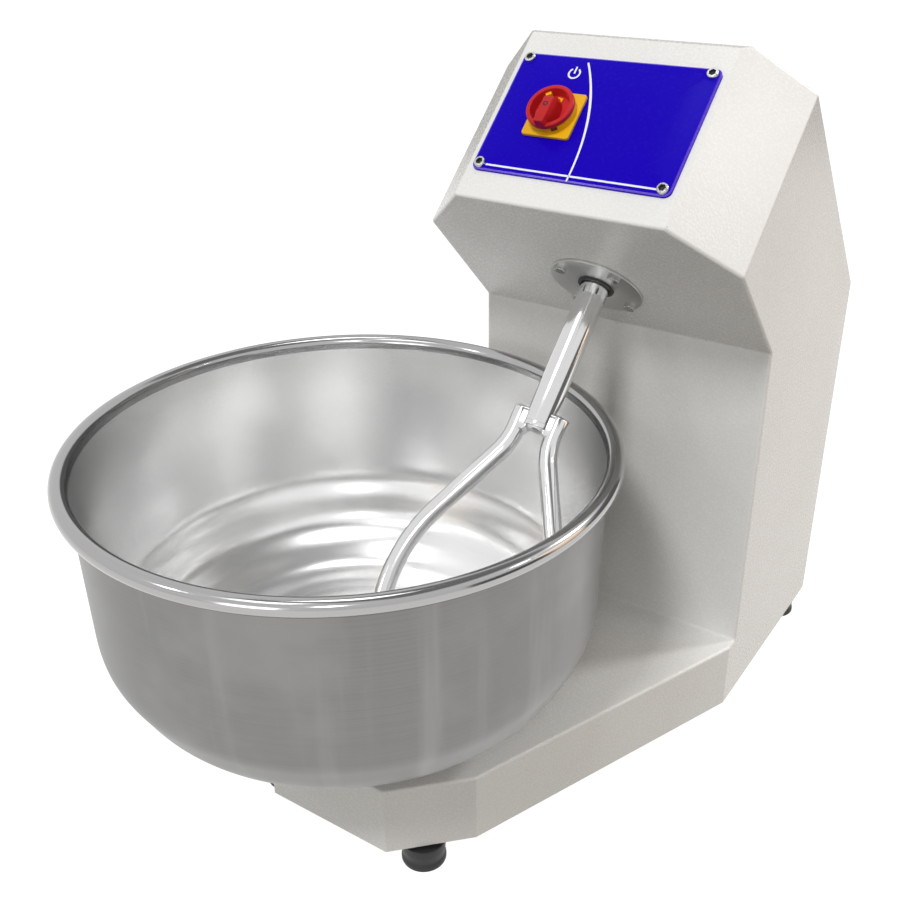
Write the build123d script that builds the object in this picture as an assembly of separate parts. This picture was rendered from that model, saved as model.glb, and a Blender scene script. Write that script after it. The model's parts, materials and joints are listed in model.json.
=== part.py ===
from build123d import *
import os
from math import atan2, cos, degrees, hypot, pi, radians, sin, tan

# A free-standing fork dough mixer. Sizes are in millimetres. While the pieces are built, X = 0 is the
# middle plane of the head and fork shaft, Y = 0 is the front of the column and Z = 0 is the floor.
# Every piece is then moved so that the origin is the middle of the whole machine's footprint box.

# Housing: column, leaning head and low base, folded and welded from one sheet thickness
WIDTH = 320.0
COLUMN_DEPTH = 255.0
SHEET = 2.0
BEND = 3.0
HEAD_REACH = 147.0            # the head's lower front edge, ahead of the column
HEAD_EDGE_HEIGHT = 566.0      # the same edge, above the housing's lower edge
UNDER_RISE = 151.0            # how far the head's underside rises from the column to that edge
HEAD_FACE = 185.0             # length of the sloping front face
FACE_TILT = 42.0
TOP_STRIP = 13.0
REAR_EDGE_HEIGHT = 411.0
HEAD_FACE_WIDTH = 207.0
BEVEL_DEPTH = 63.0            # how far the head's two bevels run back from the front face
BASE_HEIGHT = 76.0
BASE_SHOULDER = 15.0          # straight side ahead of the column before the base tapers
RIGHT_CORNER = (171.0, -39.0)  # the base's front corners, from the bowl's axis
NOSE_RIGHT = (109.0, -102.0)
NOSE_LEFT = (-32.0, -102.0)
LEFT_CORNER = (-115.0, -19.0)
EDGE_FLANGE = 18.0            # inward flange round the bottom opening
REAR_LIP = 22.0               # rear wall left standing round the rear opening

# Feet and bottom plate
BOTTOM_PLATE = 3.0
BOTTOM_INSET = 4.0
FOOT_HEIGHT = 25.0
FOOT_RADIUS = 22.0            # lip on the floor
FOOT_WAIST = 20.5
FOOT_TOP_RADIUS = 21.5
FOOT_LIP = 4.0
STUD_RADIUS = 5.0
NUT_ROOM = 11.0               # notch in the edge flange round a foot's nut
FRONT_RIGHT_FOOT = (126.0, -64.0)  # the front feet, from the bowl's axis
FRONT_LEFT_FOOT = (-57.0, -55.0)
REAR_FOOT_INSET = 26.0        # the rear feet, in from the column's sides and rear

# Fasteners and fits
SCREW_GAP = 0.1               # radial room of a fastener in its hole
RUN_FIT = 0.05                # radial clearance of a turning shaft
SEAT_FIT = 0.02               # radial clearance of a fixed bearing, seal or hub
M5, M6, M8 = 2.5, 3.0, 4.0    # shank radii

# Flange, shaft and fork
FLANGE_UP = 80.0              # flange centre, up the underside from the column
FLANGE_RADIUS = 47.0
FLANGE_THICK = 3.0
FLANGE_PCD = 79.0
FLANGE_BORE = 17.0
SHAFT_RADIUS = 14.0
SHAFT_TOP_RADIUS = 10.0
FORK_LENGTH = 294.5           # from the yoke's top to the tines' ends, along the shaft
YOKE_LENGTH = 17.5
YOKE_THICK = 14.0             # flat bar between the tines' upper ends
YOKE_EASE = 3.0               # rounding of the tines' upper ends
YOKE_BOTTOM_WALL = 5.0
YOKE_HUB_WALL = 1.0
TINE_RADIUS = 9.0
TINE_OFFSET = 18.8            # tine centre line from the shaft axis at the yoke
TINE_STRAIGHT = 18.4
TINE_SPLAY = 26.4
TINE_TIP_RUN = 104.8          # from where a tine's two straight runs would meet to its end, along the shaft
FORK_END_RISE = 63.1          # the fork's end on the shaft's axis, above the bowl's underside
FORK_PAST_BOWL = 76.763       # the same point, ahead of the bowl's axis
TINE_NECK_BEND = 64.0
TINE_BELLY_BEND = 157.0
FORK_ANGLE = -9.0             # turn of the fork about the shaft at rest

# Gearcase in the head, a bevel pair
CASE_RADIUS = 80.0
CASE_WALL = 8.0
CASE_FLOOR = 12.0
CASE_LENGTH = 134.0
CASE_COVER = 8.0
LOWER_BEARING_RADIUS = 26.0
LOWER_BEARING_LENGTH = 15.0
BOSS_WALL = 6.0
UPPER_BEARING_RADIUS = 21.0
UPPER_BEARING_LENGTH = 12.0
APEX = 100.0                  # pinion axis above the underside, along the shaft
GEAR_TEETH = 60
PINION_TEETH = 10
MODULE = 2.2
FACE_WIDTH = 18.0
TOOTH_SHARE = 0.40            # tooth thickness over tooth pitch
ADDENDUM = 0.8
DEDENDUM = 1.15
TOOTH_ROOT = 1.6              # how far a tooth runs down into its wheel, in modules
GEAR_BODY = 12.0
PINION_BODY = 4.0
PINION_END = 72.0             # end of the pinion's hub from the fork shaft's axis
GEAR_HUB_RADIUS = 24.0
PINION_SHAFT_RADIUS = 8.0
PINION_BEARING_RADIUS = 16.0
PINION_BEARING_LENGTH = 10.0
PINION_BOSS_END = 100.0

# Belt drive and motor in the column
PULLEY_START = 106.0
PULLEY_WIDTH = 20.0
DRIVEN_PULLEY = 54.0          # pitch radius
MOTOR_PULLEY = 27.0
BELT_TOP = 13.0
BELT_HEIGHT = 8.0
BELT_GAP = 0.3
MOTOR_AHEAD = 105.0           # motor axis, ahead of the column's rear
MOTOR_Z = 160.0
STATOR_RADIUS = 64.0
STATOR_LENGTH = 140.0
FIN_HEIGHT = 6.0
FIN_THICK = 2.2
FIN_COUNT = 28
SHIELD_LENGTH = 16.0
FAN_COVER_LENGTH = 44.0
FAN_COVER_WALL = 1.5
FAN_RADIUS = 52.0
MOTOR_SHAFT_RADIUS = 9.5
MOTOR_FOOT_DROP = 76.0        # underside of the motor feet below the motor axis
MOTOR_FOOT = 10.0
MOTOR_BOLT_EDGE = 11.0         # motor bolts, in from the bracket's long edges
MOTOR_BOLT_END = 20.0
MOTOR_PAD = (114.0, 36.0)     # length and depth of a motor foot
MOTOR_WEB = 14.0
TERMINAL_BOX = (84.0, 76.0, 40.0)
BRACKET_PLATE = 6.0
BRACKET_LENGTH = 130.0
BRACKET_DEPTH = 150.0
BRACKET_BOLT_EDGE = 12.0       # bracket bolts, in from the bracket's long edges
BRACKET_BOLT_END = 15.0

# Bowl on its spindle
BOWL_X = -135.0
RIM_RADIUS = 250.0            # centre circle of the rolled rim
RIM_BEAD = 8.0
BOWL_LIFT = 30.5              # the bowl's underside above the top of the base
BOWL_DEPTH = 255.0
BOWL_WALL = 1.5
WALL_HEIGHT = 141.0
WALL_TAPER = 0.014
BOWL_FLAT = 108.0
HUB_RADIUS = 70.0
HUB_THICK = 10.0
HUB_GAP = 2.0
SPINDLE_RADIUS = 12.5
SPINDLE_COLLAR = 17.0
SPINDLE_BEARING_RADIUS = 26.0
SPINDLE_BEARING_LENGTH = 15.0
HOUSING_WALL = 8.0
HOUSING_FLANGE_RADIUS = 62.0
HOUSING_FLANGE = 8.0
HOUSING_PCD = 98.0
STIFFENER = 6.0
STIFFENER_RADIUS = 78.0
SPINDLE_FOOT = 14.0           # the spindle housing's lower end above the housing's lower edge
SPINDLE_TAIL = 9.0
SPINDLE_NUT = 8.0

# Control panel and main switch, measured on the head's front face
PANEL_WIDTH, PANEL_HEIGHT = 196.0, 131.0
PANEL_CENTRE = (0.0, 94.0)
PANEL_THICK = 3.0
PANEL_CORNER = 7.0
PANEL_SCREWS = (180.0, 118.0)
SWITCH_AT = (-38.0, 93.0)
PLATE_SIDE = 48.0
PLATE_THICK = 3.6
PLATE_CORNER = 3.0
COLLAR_RADIUS = 21.0
COLLAR_BORE = 19.0
COLLAR_HEIGHT = 6.8
HANDLE_RADIUS = 22.5
HANDLE_HEIGHT = 5.0           # the handle's ring, above the collar
HANDLE_RIM = 4.0
HANDLE_CUP = 18.6             # the cup below the ring, in the collar
CUP_LIFT = 0.6                # the cup's underside above the plate
HANDLE_FLOOR = 2.0
GRIP_WIDTH = 9.4
GRIP_RISE = 7.0               # the grip's crown above the handle's ring
GRIP_CROWN_END = 4.2          # the crown's upper end, from the switch's middle
GRIP_FOOT_END = 14.2          # the ramp's foot on the cup's floor
GRIP_NOSE_HEIGHT = 2.0        # the nose over the rim, below the ring's top
HANDLE_GAP = 0.4
SWITCH_NECK = 11.0
SWITCH_BODY = 44.0
SWITCH_DEPTH = 38.0
SWITCH_SHAFT_RADIUS = 4.0

# Rear cover and cable gland
COVER_OVERLAP = 12.0
COVER_THICK = 2.0
LOUVRE_LENGTH = 90.0
LOUVRE_HEIGHT = 6.0
LOUVRE_PITCH = 18.0
LOUVRES = 6
LOUVRE_ROWS = (80.0, 290.0)   # middle height of each block of louvres above the housing's lower edge
GLAND_AT = (-95.0, 48.0)
GLAND_RADIUS = 11.0
GLAND_OUT = 20.0
GLAND_BORE = 5.0

# Places that follow from the sizes
EDGE_Z = FOOT_HEIGHT + BOTTOM_PLATE
HALF = WIDTH / 2
BASE_TOP = EDGE_Z + BASE_HEIGHT
COLUMN_FRONT_TOP = HEAD_EDGE_HEIGHT - UNDER_RISE
MOTOR_Y = COLUMN_DEPTH - MOTOR_AHEAD
HEAD_EDGE = (-HEAD_REACH, EDGE_Z + HEAD_EDGE_HEIGHT)
FACE_RUN = (HEAD_FACE * cos(radians(FACE_TILT)), HEAD_FACE * sin(radians(FACE_TILT)))
RIDGE = (HEAD_EDGE[0] + FACE_RUN[0], HEAD_EDGE[1] + FACE_RUN[1])
UNDER_RUN = (-HEAD_REACH, UNDER_RISE)
UNDER_LENGTH = hypot(*UNDER_RUN)
UNDER_UP = (UNDER_RUN[0] / UNDER_LENGTH, UNDER_RUN[1] / UNDER_LENGTH)
FLANGE_POINT = (0, FLANGE_UP * UNDER_UP[0], EDGE_Z + COLUMN_FRONT_TOP + FLANGE_UP * UNDER_UP[1])
OUT = (Align.CENTER, Align.CENTER, Align.MIN)

# The fork reaches down to a set height in the bowl, and the bowl and the base's front stand round the fork
RIM_HEIGHT = BASE_HEIGHT + BOWL_LIFT + BOWL_DEPTH
TINE_END = (FLANGE_POINT[2] - BASE_TOP - BOWL_LIFT - FORK_END_RISE) / -UNDER_UP[0]
TINE_BEND_AT = TINE_END - TINE_TIP_RUN
YOKE_START = TINE_END - FORK_LENGTH
BOWL_Y = FLANGE_POINT[1] - UNDER_UP[1] * TINE_END + FORK_PAST_BOWL
BASE_FRONT = [(BOWL_X + x, BOWL_Y + y) for x, y in (RIGHT_CORNER, NOSE_RIGHT, NOSE_LEFT, LEFT_CORNER)]
FRONT_FEET = [(BOWL_X + x, BOWL_Y + y) for x, y in (FRONT_RIGHT_FOOT, FRONT_LEFT_FOOT)]

# Working planes: shaft (Z down the shaft, from the underside), pinion and motor (Z towards +X),
# face (X right, Y up the face, Z outwards), spindle (Z up)
SHAFT = Plane(origin=FLANGE_POINT, x_dir=(1, 0, 0), z_dir=(0, -UNDER_UP[1], UNDER_UP[0]))
FORK = SHAFT * Rot(0, 0, FORK_ANGLE)
PINION_POINT = SHAFT.from_local_coords((0, 0, -SHEET - APEX))
PINION = Plane(origin=PINION_POINT, x_dir=SHAFT.z_dir, z_dir=(1, 0, 0))
MOTOR = Plane(origin=(0, MOTOR_Y, MOTOR_Z), x_dir=(0, 0, 1), z_dir=(1, 0, 0))
FACE = Plane(
    origin=(0, *HEAD_EDGE), x_dir=(1, 0, 0), z_dir=(0, -sin(radians(FACE_TILT)), cos(radians(FACE_TILT)))
)
PANEL = FACE * Pos(*PANEL_CENTRE, 0)
SWITCH = FACE * Pos(*SWITCH_AT, PANEL_THICK)
SPINDLE = Plane(origin=(BOWL_X, BOWL_Y, 0))
REAR = Plane(origin=(0, COLUMN_DEPTH, EDGE_Z), x_dir=(-1, 0, 0), z_dir=(0, 1, 0))

RIM_OUTER = RIM_RADIUS + RIM_BEAD
FOOTPRINT_X = (BOWL_X - RIM_OUTER + HALF) / 2
FOOTPRINT_Y = (BOWL_Y - RIM_OUTER + COLUMN_DEPTH + COVER_THICK + GLAND_OUT) / 2
TO_ORIGIN = Pos(-FOOTPRINT_X, -FOOTPRINT_Y, 0)


def save(node, *solids):
    """Write one node: a single solid, or a group of separate ones, moved to the part's origin."""
    placed = [TO_ORIGIN * solid for solid in solids]
    export_step(placed[0] if len(placed) == 1 else Compound(children=placed), f"parts/{node}.step")


def disc(radius, start, end):
    """A round bar along Z from start to end."""
    return Pos(0, 0, start) * Cylinder(radius, end - start, align=OUT)


def ring(outer, inner, start, end):
    """A round tube along Z from start to end."""
    return disc(outer, start, end) - disc(inner, start, end)


def block(x, y, start, end):
    """A rectangular block about the Z axis from start to end."""
    return Pos(0, 0, start) * Box(x, y, end - start, align=OUT)


def hex_bolt(shank, length):
    """Hexagon bolt: head above Z = 0, shank below."""
    head = extrude(RegularPolygon(1.85 * shank, 6), 1.3 * shank)
    return chamfer(head.edges().group_by(Axis.Z)[-1], 0.2 * shank) + disc(shank, -length, 0)


def pan_screw(shank, length):
    """Pan-head screw with a cross recess: head above Z = 0, shank below."""
    height = 1.15 * shank
    head = disc(1.75 * shank, 0, height)
    head = fillet(head.edges().group_by(Axis.Z)[-1], 0.6 * shank)
    arm = block(2.0 * shank, 0.4 * shank, 0.45 * height, height)
    return head - arm - Rot(0, 0, 90) * arm + disc(shank, -length, 0)


def corners(x, y):
    """The four corners of a rectangle about the origin."""
    return [(i * x / 2, j * y / 2) for i in (-1, 1) for j in (-1, 1)]


def circle_points(pcd, count, first):
    """Points evenly spaced on a pitch circle."""
    angles = [radians(first + 360 * i / count) for i in range(count)]
    return [(pcd / 2 * cos(a), pcd / 2 * sin(a)) for a in angles]


def base_outline():
    """Plan of the base: as wide as the column behind, tapering to a nose at the front left."""
    points = [
        (HALF, COLUMN_DEPTH), (HALF, -BASE_SHOULDER), *BASE_FRONT,
        (-HALF, -BASE_SHOULDER), (-HALF, COLUMN_DEPTH),
    ]
    return make_face(Polyline(*points, close=True))


def body_form(inset):
    """The housing's closed form with every wall moved inwards by inset."""
    profile = [
        (0, EDGE_Z), (0, EDGE_Z + COLUMN_FRONT_TOP), HEAD_EDGE, RIDGE, (RIDGE[0] + TOP_STRIP, RIDGE[1]),
        (COLUMN_DEPTH, EDGE_Z + REAR_EDGE_HEIGHT), (COLUMN_DEPTH, EDGE_Z),
    ]
    side = make_face(Polyline(*profile, close=True))
    far = 2 * HEAD_EDGE_HEIGHT
    bevels = [
        (-HEAD_FACE_WIDTH / 2, 0), (HEAD_FACE_WIDTH / 2, 0), (HALF, BEVEL_DEPTH),
        (HALF, far), (-HALF, far), (-HALF, BEVEL_DEPTH),
    ]
    cap = make_face(Polyline(*bevels, close=True))
    plan = base_outline()
    if inset:
        side = offset(side, -inset, kind=Kind.INTERSECTION)
        cap = offset(cap, -inset, kind=Kind.INTERSECTION)
        plan = offset(plan, -inset, kind=Kind.INTERSECTION)
    along_face = Plane(origin=FACE.origin, x_dir=(1, 0, 0), z_dir=FACE.y_dir)
    upper = extrude(Plane.YZ * side, HALF - inset, both=True)
    upper = upper & extrude(along_face * cap, far, both=True)
    return upper + Pos(0, 0, EDGE_Z + inset) * extrude(plan, BASE_HEIGHT - 2 * inset)


def rear_screw_points():
    """Six screws near the left and right edges of the rear cover, in the rear plane."""
    x = HALF - REAR_LIP + COVER_OVERLAP / 2
    low, high = REAR_LIP - COVER_OVERLAP / 2, REAR_EDGE_HEIGHT - REAR_LIP + COVER_OVERLAP / 2
    return [(i * x, z) for i in (-1, 1) for z in (low, (low + high) / 2, high)]


def bottom_screw_points():
    """Screws through the bottom plate into the housing's edge flange."""
    inset = SHEET + EDGE_FLANGE / 2
    x, rear = HALF - inset, COLUMN_DEPTH - inset
    (right, nose), (left, _) = BASE_FRONT[1:3]
    nose += inset
    side = [(i * x, y) for i in (-1, 1) for y in (0, COLUMN_DEPTH / 2)]
    front = [(right - EDGE_FLANGE, nose), (left + EDGE_FLANGE, nose)]
    return side + front + [(0, rear)]


def foot_points():
    """The four feet: two under the nose, two under the column."""
    x, y = HALF - REAR_FOOT_INSET, COLUMN_DEPTH - REAR_FOOT_INSET
    return [*FRONT_FEET, (x, y), (-x, y)]


def rear_opening(margin):
    """Outline of the rear opening grown by margin, in the rear plane."""
    tall = REAR_EDGE_HEIGHT - 2 * REAR_LIP + 2 * margin
    return Pos(0, REAR_EDGE_HEIGHT / 2) * RectangleRounded(WIDTH - 2 * REAR_LIP + 2 * margin, tall, 6)


def make_housing():
    """Hollow sheet body with holes for the flange, panel, switch, spindle, rear and bottom."""
    outer = body_form(0)
    bends = [e for e in outer.edges() if e.bounding_box().max.Z > EDGE_Z + 0.1]
    shell = fillet(bends, BEND) - body_form(SHEET)
    opening = offset(base_outline(), -SHEET - EDGE_FLANGE, kind=Kind.INTERSECTION)
    shell -= Pos(0, 0, EDGE_Z - 1) * extrude(opening, SHEET + 2)
    shell -= REAR * Pos(0, 0, -SHEET - 1) * extrude(rear_opening(0), SHEET + 2)
    for x, y in rear_screw_points():
        shell -= REAR * Pos(x, y, 0) * disc(M5 + SCREW_GAP, -SHEET - 1, 1)
    for x, y in bottom_screw_points():
        shell -= Pos(x, y, EDGE_Z) * disc(M5 + SCREW_GAP, -1, SHEET + 1)
    for x, y in foot_points():
        shell -= Pos(x, y, EDGE_Z) * disc(NUT_ROOM, -1, SHEET + 1)
    shell -= SHAFT * disc(FLANGE_BORE + 2, -SHEET - 1, 1)
    for x, y in circle_points(FLANGE_PCD, 4, 45):
        shell -= SHAFT * Pos(x, y, 0) * disc(M6 + SCREW_GAP, -SHEET - 1, 1)
    for x, y in corners(*PANEL_SCREWS):
        shell -= PANEL * Pos(x, y, 0) * disc(M6 + SCREW_GAP, -SHEET - 1, 1)
    shell -= FACE * Pos(*SWITCH_AT, 0) * disc(SWITCH_NECK + SCREW_GAP, -SHEET - 1, 1)
    sleeve = SPINDLE_BEARING_RADIUS + HOUSING_WALL + SCREW_GAP
    shell -= SPINDLE * disc(sleeve, BASE_TOP - SHEET - 1, BASE_TOP + 1)
    for x, y in circle_points(HOUSING_PCD, 4, 45):
        shell -= SPINDLE * Pos(x, y, BASE_TOP) * disc(M8 + SCREW_GAP, -SHEET - 1, 1)
    save("housing", shell)


def make_bottom():
    """Bottom plate, its screws, the rubber feet, their studs and nuts."""
    plate = extrude(offset(base_outline(), -BOTTOM_INSET, kind=Kind.INTERSECTION), BOTTOM_PLATE)
    plate = Pos(0, 0, FOOT_HEIGHT) * plate
    for x, y in foot_points():
        plate -= Pos(x, y, 0) * disc(STUD_RADIUS + SCREW_GAP, FOOT_HEIGHT - 1, EDGE_Z + 1)
    for x, y in bottom_screw_points():
        plate -= Pos(x, y, 0) * disc(M5 + SCREW_GAP, FOOT_HEIGHT - 1, EDGE_Z + 1)
    for x, y in bracket_bolt_points():
        plate -= Pos(x, y, 0) * disc(M8 + SCREW_GAP, FOOT_HEIGHT - 1, EDGE_Z + 1)
    save("bottom_plate", plate)
    below = Pos(0, 0, FOOT_HEIGHT) * Rot(180, 0, 0)
    screw = below * pan_screw(M5, BOTTOM_PLATE + SHEET + 6)
    save("bottom_plate_screws", *[Pos(x, y, 0) * screw for x, y in bottom_screw_points()])
    names = ("front_right", "front_left", "rear_right", "rear_left")
    for name, (x, y) in zip(names, foot_points()):
        side = [
            (0, 0), (FOOT_RADIUS - 1, 0), (FOOT_RADIUS, 1), (FOOT_RADIUS, FOOT_LIP),
            (FOOT_WAIST, 2 * FOOT_LIP), (FOOT_TOP_RADIUS, 4 * FOOT_LIP),
            (FOOT_TOP_RADIUS, FOOT_HEIGHT), (0, FOOT_HEIGHT),
        ]
        foot = revolve(Plane.XZ * make_face(Polyline(*side, close=True)), Axis.Z)
        foot -= disc(STUD_RADIUS + SEAT_FIT, FOOT_HEIGHT / 3, FOOT_HEIGHT)
        save(f"foot_{name}", Pos(x, y, 0) * foot)
    stud_top = EDGE_Z + 1.6 * STUD_RADIUS + 3
    stud = disc(STUD_RADIUS, FOOT_HEIGHT / 3, stud_top)
    save("foot_studs", *[Pos(x, y, 0) * stud for x, y in foot_points()])
    nut = extrude(RegularPolygon(1.85 * STUD_RADIUS, 6), 1.6 * STUD_RADIUS)
    nut -= disc(STUD_RADIUS + SEAT_FIT, -1, 2 * STUD_RADIUS)
    save("foot_nuts", *[Pos(x, y, EDGE_Z) * nut for x, y in foot_points()])


def make_rear():
    """Louvred rear cover, its screws and the cable gland."""
    cover = extrude(rear_opening(COVER_OVERLAP), COVER_THICK)
    slot = extrude(SlotOverall(LOUVRE_LENGTH, LOUVRE_HEIGHT), COVER_THICK + 2)
    for middle in LOUVRE_ROWS:
        for i in range(LOUVRES):
            rise = middle + (i - (LOUVRES - 1) / 2) * LOUVRE_PITCH
            cover -= Pos(0, rise, -1) * slot
    for x, y in rear_screw_points():
        cover -= Pos(x, y, 0) * disc(M5 + SCREW_GAP, -1, COVER_THICK + 1)
    cover -= Pos(*GLAND_AT, 0) * disc(GLAND_RADIUS + SCREW_GAP, -1, COVER_THICK + 1)
    save("rear_cover", REAR * cover)
    screw = pan_screw(M5, COVER_THICK + SHEET + 6)
    save("rear_cover_screws", *[REAR * Pos(x, y, COVER_THICK) * screw for x, y in rear_screw_points()])
    gland = disc(GLAND_RADIUS, -8, COVER_THICK)
    gland += Pos(0, 0, COVER_THICK) * extrude(RegularPolygon(1.25 * GLAND_RADIUS, 6), 0.35 * GLAND_OUT)
    gland += disc(0.95 * GLAND_RADIUS, COVER_THICK + 0.35 * GLAND_OUT, COVER_THICK + GLAND_OUT)
    gland = fillet(gland.edges().group_by(Axis.Z)[-1], 2.5)
    gland -= disc(GLAND_BORE, -9, COVER_THICK + GLAND_OUT + 1)
    save("cable_gland", REAR * Pos(*GLAND_AT, 0) * gland)


def make_panel():
    """Control panel, its screws and the rotary main switch."""
    panel = extrude(RectangleRounded(PANEL_WIDTH, PANEL_HEIGHT, PANEL_CORNER), PANEL_THICK)
    for x, y in corners(*PANEL_SCREWS):
        panel -= Pos(x, y, 0) * disc(M6 + SCREW_GAP, -1, PANEL_THICK + 1)
    off = (SWITCH_AT[0] - PANEL_CENTRE[0], SWITCH_AT[1] - PANEL_CENTRE[1])
    panel -= Pos(*off, 0) * disc(SWITCH_NECK + SCREW_GAP, -1, PANEL_THICK + 1)
    save("control_panel", PANEL * panel)
    screw = pan_screw(M6, PANEL_THICK + SHEET + 6)
    save("panel_screws", *[PANEL * Pos(x, y, PANEL_THICK) * screw for x, y in corners(*PANEL_SCREWS)])
    under = PANEL_THICK + SHEET
    shaft_hole = SWITCH_SHAFT_RADIUS + RUN_FIT
    body = block(SWITCH_BODY, SWITCH_BODY, -under - SWITCH_DEPTH, -under) + disc(SWITCH_NECK, -under, 0)
    save("switch_body", SWITCH * (body - disc(shaft_hole, -under - 0.6 * SWITCH_DEPTH, 0)))
    plate = extrude(RectangleRounded(PLATE_SIDE, PLATE_SIDE, PLATE_CORNER), PLATE_THICK)
    collar_top = PLATE_THICK + COLLAR_HEIGHT
    plate = fillet(plate.edges().group_by(Axis.Z)[-1], 0.8) - disc(shaft_hole, -1, PLATE_THICK)
    save("switch_plate", SWITCH * (plate + ring(COLLAR_RADIUS, COLLAR_BORE, PLATE_THICK, collar_top)))
    bottom = PLATE_THICK + CUP_LIFT
    rim = collar_top + HANDLE_GAP
    top = rim + HANDLE_HEIGHT
    handle = disc(HANDLE_RADIUS, rim, top)
    handle = fillet(handle.edges().group_by(Axis.Z)[-1], 1.2) + disc(HANDLE_CUP, bottom, rim)
    handle -= disc(HANDLE_RADIUS - HANDLE_RIM - 1.5, bottom + HANDLE_FLOOR, top)
    crown = top + GRIP_RISE
    nose = top - GRIP_NOSE_HEIGHT
    side = Polyline(
        (-HANDLE_CUP + 1, bottom), (-HANDLE_CUP + 1, nose), (-HANDLE_RADIUS + 0.3, nose),
        (-HANDLE_RADIUS + 0.3, crown), (GRIP_CROWN_END, crown), (GRIP_FOOT_END, bottom + HANDLE_FLOOR),
        (GRIP_FOOT_END, bottom), close=True,
    )
    grip = extrude(Plane.YZ * make_face(side), GRIP_WIDTH / 2, both=True)
    handle += fillet(grip.edges().filter_by(Axis.Y).group_by(Axis.Z)[-1], 0.8)
    seat = bottom + 0.5 * (top - bottom)
    handle -= disc(SWITCH_SHAFT_RADIUS + SEAT_FIT, bottom, seat)
    handle -= disc(M5 + SCREW_GAP, bottom, crown)
    save("switch_handle", SWITCH * handle)
    shaft = disc(SWITCH_SHAFT_RADIUS, -under - 0.6 * SWITCH_DEPTH + 1, seat)
    save("switch_shaft", SWITCH * shaft)
    screw = disc(M5, seat, crown - 2.0) - block(1.6 * M5, 0.5 * M5, crown - 3.2, crown)
    save("switch_screw", SWITCH * screw)


def tine(side):
    """One polished tine: out of the yoke, splayed, bellied and drawn in to a rounded tip."""
    start = YOKE_START + YOKE_LENGTH
    knee = start + TINE_STRAIGHT
    belly = TINE_OFFSET + (TINE_BEND_AT - knee) * tan(radians(TINE_SPLAY))
    tip = belly - (TINE_END - TINE_BEND_AT) * tan(radians(TINE_SPLAY))
    turns = ((TINE_OFFSET, start), (TINE_OFFSET, knee), (belly, TINE_BEND_AT), (tip, TINE_END))
    points = [(side * w, 0, z) for w, z in turns]
    path = FilletPolyline(*points, radius=[TINE_NECK_BEND, TINE_BELLY_BEND])
    bar = sweep(Plane(origin=points[0], x_dir=(1, 0, 0), z_dir=(0, 0, 1)) * Circle(TINE_RADIUS), path=path)
    return bar + Pos(*points[-1]) * Sphere(TINE_RADIUS)


def make_agitator():
    """Flange, bolts, seal, shaft, yoke and the two tines."""
    flange = ring(FLANGE_RADIUS, FLANGE_BORE, 0, FLANGE_THICK)
    bolts = circle_points(FLANGE_PCD, 4, 45)
    for x, y in bolts:
        flange -= Pos(x, y, 0) * disc(M6 + SCREW_GAP, -1, FLANGE_THICK + 1)
    save("shaft_flange", SHAFT * flange)
    length = FLANGE_THICK + SHEET + CASE_FLOOR - 2
    save("flange_bolts", *[SHAFT * Pos(x, y, FLANGE_THICK) * hex_bolt(M6, length) for x, y in bolts])
    seal = ring(FLANGE_BORE - SEAT_FIT, SHAFT_RADIUS + RUN_FIT, -SHEET - CASE_FLOOR, -SHEET + 1)
    save("shaft_seal", SHAFT * seal)
    top = -SHEET - CASE_LENGTH
    shaft = disc(SHAFT_RADIUS, top + UPPER_BEARING_LENGTH, YOKE_START + YOKE_LENGTH - YOKE_BOTTOM_WALL)
    shaft += disc(SHAFT_TOP_RADIUS, top + 1, top + UPPER_BEARING_LENGTH)
    save("fork_shaft", SHAFT * shaft)
    yoke_end = YOKE_START + YOKE_LENGTH
    yoke = block(2 * TINE_OFFSET, YOKE_THICK, YOKE_START, yoke_end)
    post = disc(TINE_RADIUS, YOKE_START, yoke_end)
    post = fillet(post.edges().group_by(Axis.Z)[0], YOKE_EASE)
    for side in (-1, 1):
        yoke += Pos(side * TINE_OFFSET, 0, 0) * post
    yoke += disc(SHAFT_RADIUS + YOKE_HUB_WALL, YOKE_START, yoke_end)
    yoke -= disc(SHAFT_RADIUS + SEAT_FIT, YOKE_START - 1, yoke_end - YOKE_BOTTOM_WALL)
    save("fork_yoke", FORK * yoke)
    save("fork_tine_left", FORK * tine(-1))
    save("fork_tine_right", FORK * tine(1))


def bevel_tooth(radius, height, cone, scale):
    """Cross-section of one straight bevel tooth on its back cone, shrunk by scale towards the apex.

    radius and height place the pitch point; cone is the pitch cone angle. The tooth points along the
    back cone, so its tip lies outside the pitch cone and its root inside it.
    """
    pitch = pi * MODULE
    half = pitch * TOOTH_SHARE / 2
    slope = tan(radians(20))
    tip_half = half - ADDENDUM * MODULE * slope
    root_half = half + TOOTH_ROOT * MODULE * slope
    out_r, out_z = cos(radians(cone)), -sin(radians(cone))
    tip = (radius + ADDENDUM * MODULE * out_r, height + ADDENDUM * MODULE * out_z)
    root = (radius - TOOTH_ROOT * MODULE * out_r, height - TOOTH_ROOT * MODULE * out_z)
    points = [
        (root[0], -root_half, root[1]), (tip[0], -tip_half, tip[1]),
        (tip[0], tip_half, tip[1]), (root[0], root_half, root[1]),
    ]
    return make_face(Polyline(*[(scale * x, scale * y, scale * z) for x, y, z in points], close=True))


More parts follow.
